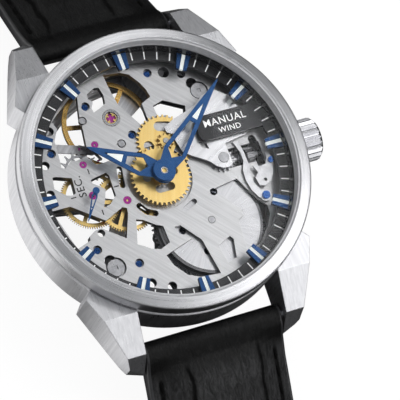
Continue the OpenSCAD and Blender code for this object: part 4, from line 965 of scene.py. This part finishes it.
leathers = {
    # crack is the painted shade colour: in the dips, on the strap_12 half and by the lugs
    "crocLeather": dict(
        light=(0.048, 0.048, 0.050), dark=(0.008, 0.008, 0.008), crack=(0.0004, 0.0004, 0.0004),
        rough=(0.28, 0.50), stretch=(1.5, 0.45, 1), cells=0.9, crackle=0.03, pores=7.0, bump=1.0,
        depth=0.34, twist=1.6, gloss=0.24),
    "lining": dict(
        light=(0.030, 0.028, 0.027), dark=(0.018, 0.017, 0.016), crack=(0.018, 0.017, 0.016),
        rough=(0.62, 0.8), stretch=(1.2, 1.2, 1), cells=2.2, crackle=0.05, pores=9.0, bump=0.4,
        depth=0.05, sheen=0.1),
    "edgePaint": dict(
        light=(0.045, 0.046, 0.05), dark=(0.03, 0.03, 0.032), crack=(0.03, 0.03, 0.032),
        rough=(0.30, 0.42), stretch=(0.5, 0.3, 1), cells=1.5, crackle=0.03, pores=5.0, bump=0.3,
        depth=0.05),
    "thread": dict(
        light=(0.008, 0.008, 0.008), dark=(0.002, 0.002, 0.002), crack=(0.002, 0.002, 0.002),
        rough=(0.6, 0.8), stretch=(0.8, 3.2, 1), cells=2.0, crackle=0.05, pores=4.0, bump=0.9,
        depth=0.06, gloss=0.15),
}
made.update({name: leatherMaterial(name, look) for name, look in leathers.items()})

# cuts: the two bars and the tongue's slot in the buckle half, the holes in the other
cuts = {
    "halfLong": 13,  # half length of the bar holes, wider than the strap
    "springBar": 0.95,
    "buckleBar": 0.75,
    "slotHalf": 1.4,
    "slotFrom": -3.2,  # from the buckle bar, along the strap and up
    "slotTo": 4,
    "holeFirst": 24.0,  # from the tip
    "holePitch": 6.5,
    "holeCount": 7,
    "holeRadius": 1.1,
    "holeTop": 7,  # above the table
}


def cutBuckleEnd(piece, half):
    y, z, slope = (float(v) for v in along(np.array(half["length"]), half["up"]))
    n, d = np.array([math.sin(slope), math.cos(slope)]), np.array([math.cos(slope), -math.sin(slope)])
    bar = np.array([y, z]) + strap["endThick"] / 2 * n
    cutWith(piece, [rodCutter((-cuts["halfLong"], *bar), (cuts["halfLong"], *bar), cuts["buckleBar"])])
    low, high = cuts["slotFrom"], cuts["slotTo"]
    block = []
    for x in (-cuts["slotHalf"], cuts["slotHalf"]):
        for e, f in ((low, low), (high, low), (high, high), (low, high)):
            block.append((x, *(bar + e * d + f * n)))
    cutWith(piece, [(np.array(block), boxSides)])


for key, half in halves.items():
    piece = strapHalf("strapLeather" + key, half)
    bar = (half["side"] * lie["barY"], barZ)
    cutWith(piece, [rodCutter((-cuts["halfLong"], *bar), (cuts["halfLong"], *bar), cuts["springBar"])])
    if half["side"] > 0:
        cutBuckleEnd(piece, half)
    else:
        place = half["length"] - cuts["holeFirst"] - cuts["holePitch"] * np.arange(cuts["holeCount"])
        y, _, _ = along(place, half["up"])
        cutWith(piece, [rodCutter((0, -v, -1), (0, -v, cuts["holeTop"]), cuts["holeRadius"]) for v in y])
    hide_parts(half["body"])
    stitches("stitches" + key, half)
print("strap halves made")

keepers = {
    "wide": 5.4,
    "thick": 0.8,
    "beside": 0.95,  # strap's edge to the middle of the band
    "under": 0.45,
    "over": 0.9,  # the same above the second layer of strap
    "points": 128,  # round the keeper
    "bandPoints": 28,
    "loopPower": 0.16,  # small powers of sine and cosine give a box with soft corners
    "widePower": 0.35,
    "thickPower": 0.45,
    "bulge": 0.16,
    "places": [  # piece, body, node, s
        ("keeperFixed", "strap_12", "fixed_keeper", 68),
        ("keeperFree", "free_keeper", "free_keeper", 52),
    ],
}


def boxed(values, power):
    return np.sign(values) * np.abs(values) ** power


def keeper(name, body, node, s):
    # band section (rounded slab) carried round a rounded rectangle that clears two thicknesses of strap
    y, z, slope = (float(v) for v in along(np.array(float(s)), halves["12"]["up"]))
    halfWide = strap["end"] + keepers["beside"]
    low = -keepers["under"]
    high = np.interp(s, *zip(*strap["pad"])) + strap["endThick"] + keepers["over"]
    turn = np.arange(keepers["points"]) * 2 * math.pi / keepers["points"]
    px = halfWide * boxed(np.cos(turn), keepers["loopPower"])
    ph = (low + high) / 2 + (high - low) / 2 * boxed(np.sin(turn), keepers["loopPower"])
    step = np.stack([np.roll(px, -1) - np.roll(px, 1), np.roll(ph, -1) - np.roll(ph, 1)], 1)
    step /= np.linalg.norm(step, axis=1)[:, None]
    out = np.stack([step[:, 1], -step[:, 0]], 1)
    band = np.arange(keepers["bandPoints"]) * 2 * math.pi / keepers["bandPoints"]
    wideShare = boxed(np.cos(band), keepers["widePower"])
    bw = keepers["wide"] / 2 * wideShare
    bt = keepers["thick"] / 2 * boxed(np.sin(band), keepers["thickPower"])
    bt = bt * (1 + keepers["bulge"] * np.cos(math.pi * wideShare))
    x = px[:, None] + out[:, :1] * bt[None]
    h = ph[:, None] + out[:, 1:] * bt[None]
    t = np.broadcast_to(bw[None], x.shape)
    d, n = (math.cos(slope), -math.sin(slope)), (math.sin(slope), math.cos(slope))
    points = np.stack([x, y + t * d[0] + h * n[0], z + t * d[1] + h * n[1]], -1).reshape(-1, 3)
    loop = np.stack([px, ph])
    length = np.cumsum(np.hypot(*(np.roll(loop, -1, 1) - loop)))
    corners = np.stack(np.broadcast_arrays(t, length[:, None]), -1).reshape(-1, 2)
    faces = gridFaces(keepers["points"], keepers["bandPoints"], True)
    piece = makePiece(name, points, faces, body, ["crocLeather"], corners=corners)
    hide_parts(node)


for row in keepers["places"]:
    keeper(*row)
print("keepers made")
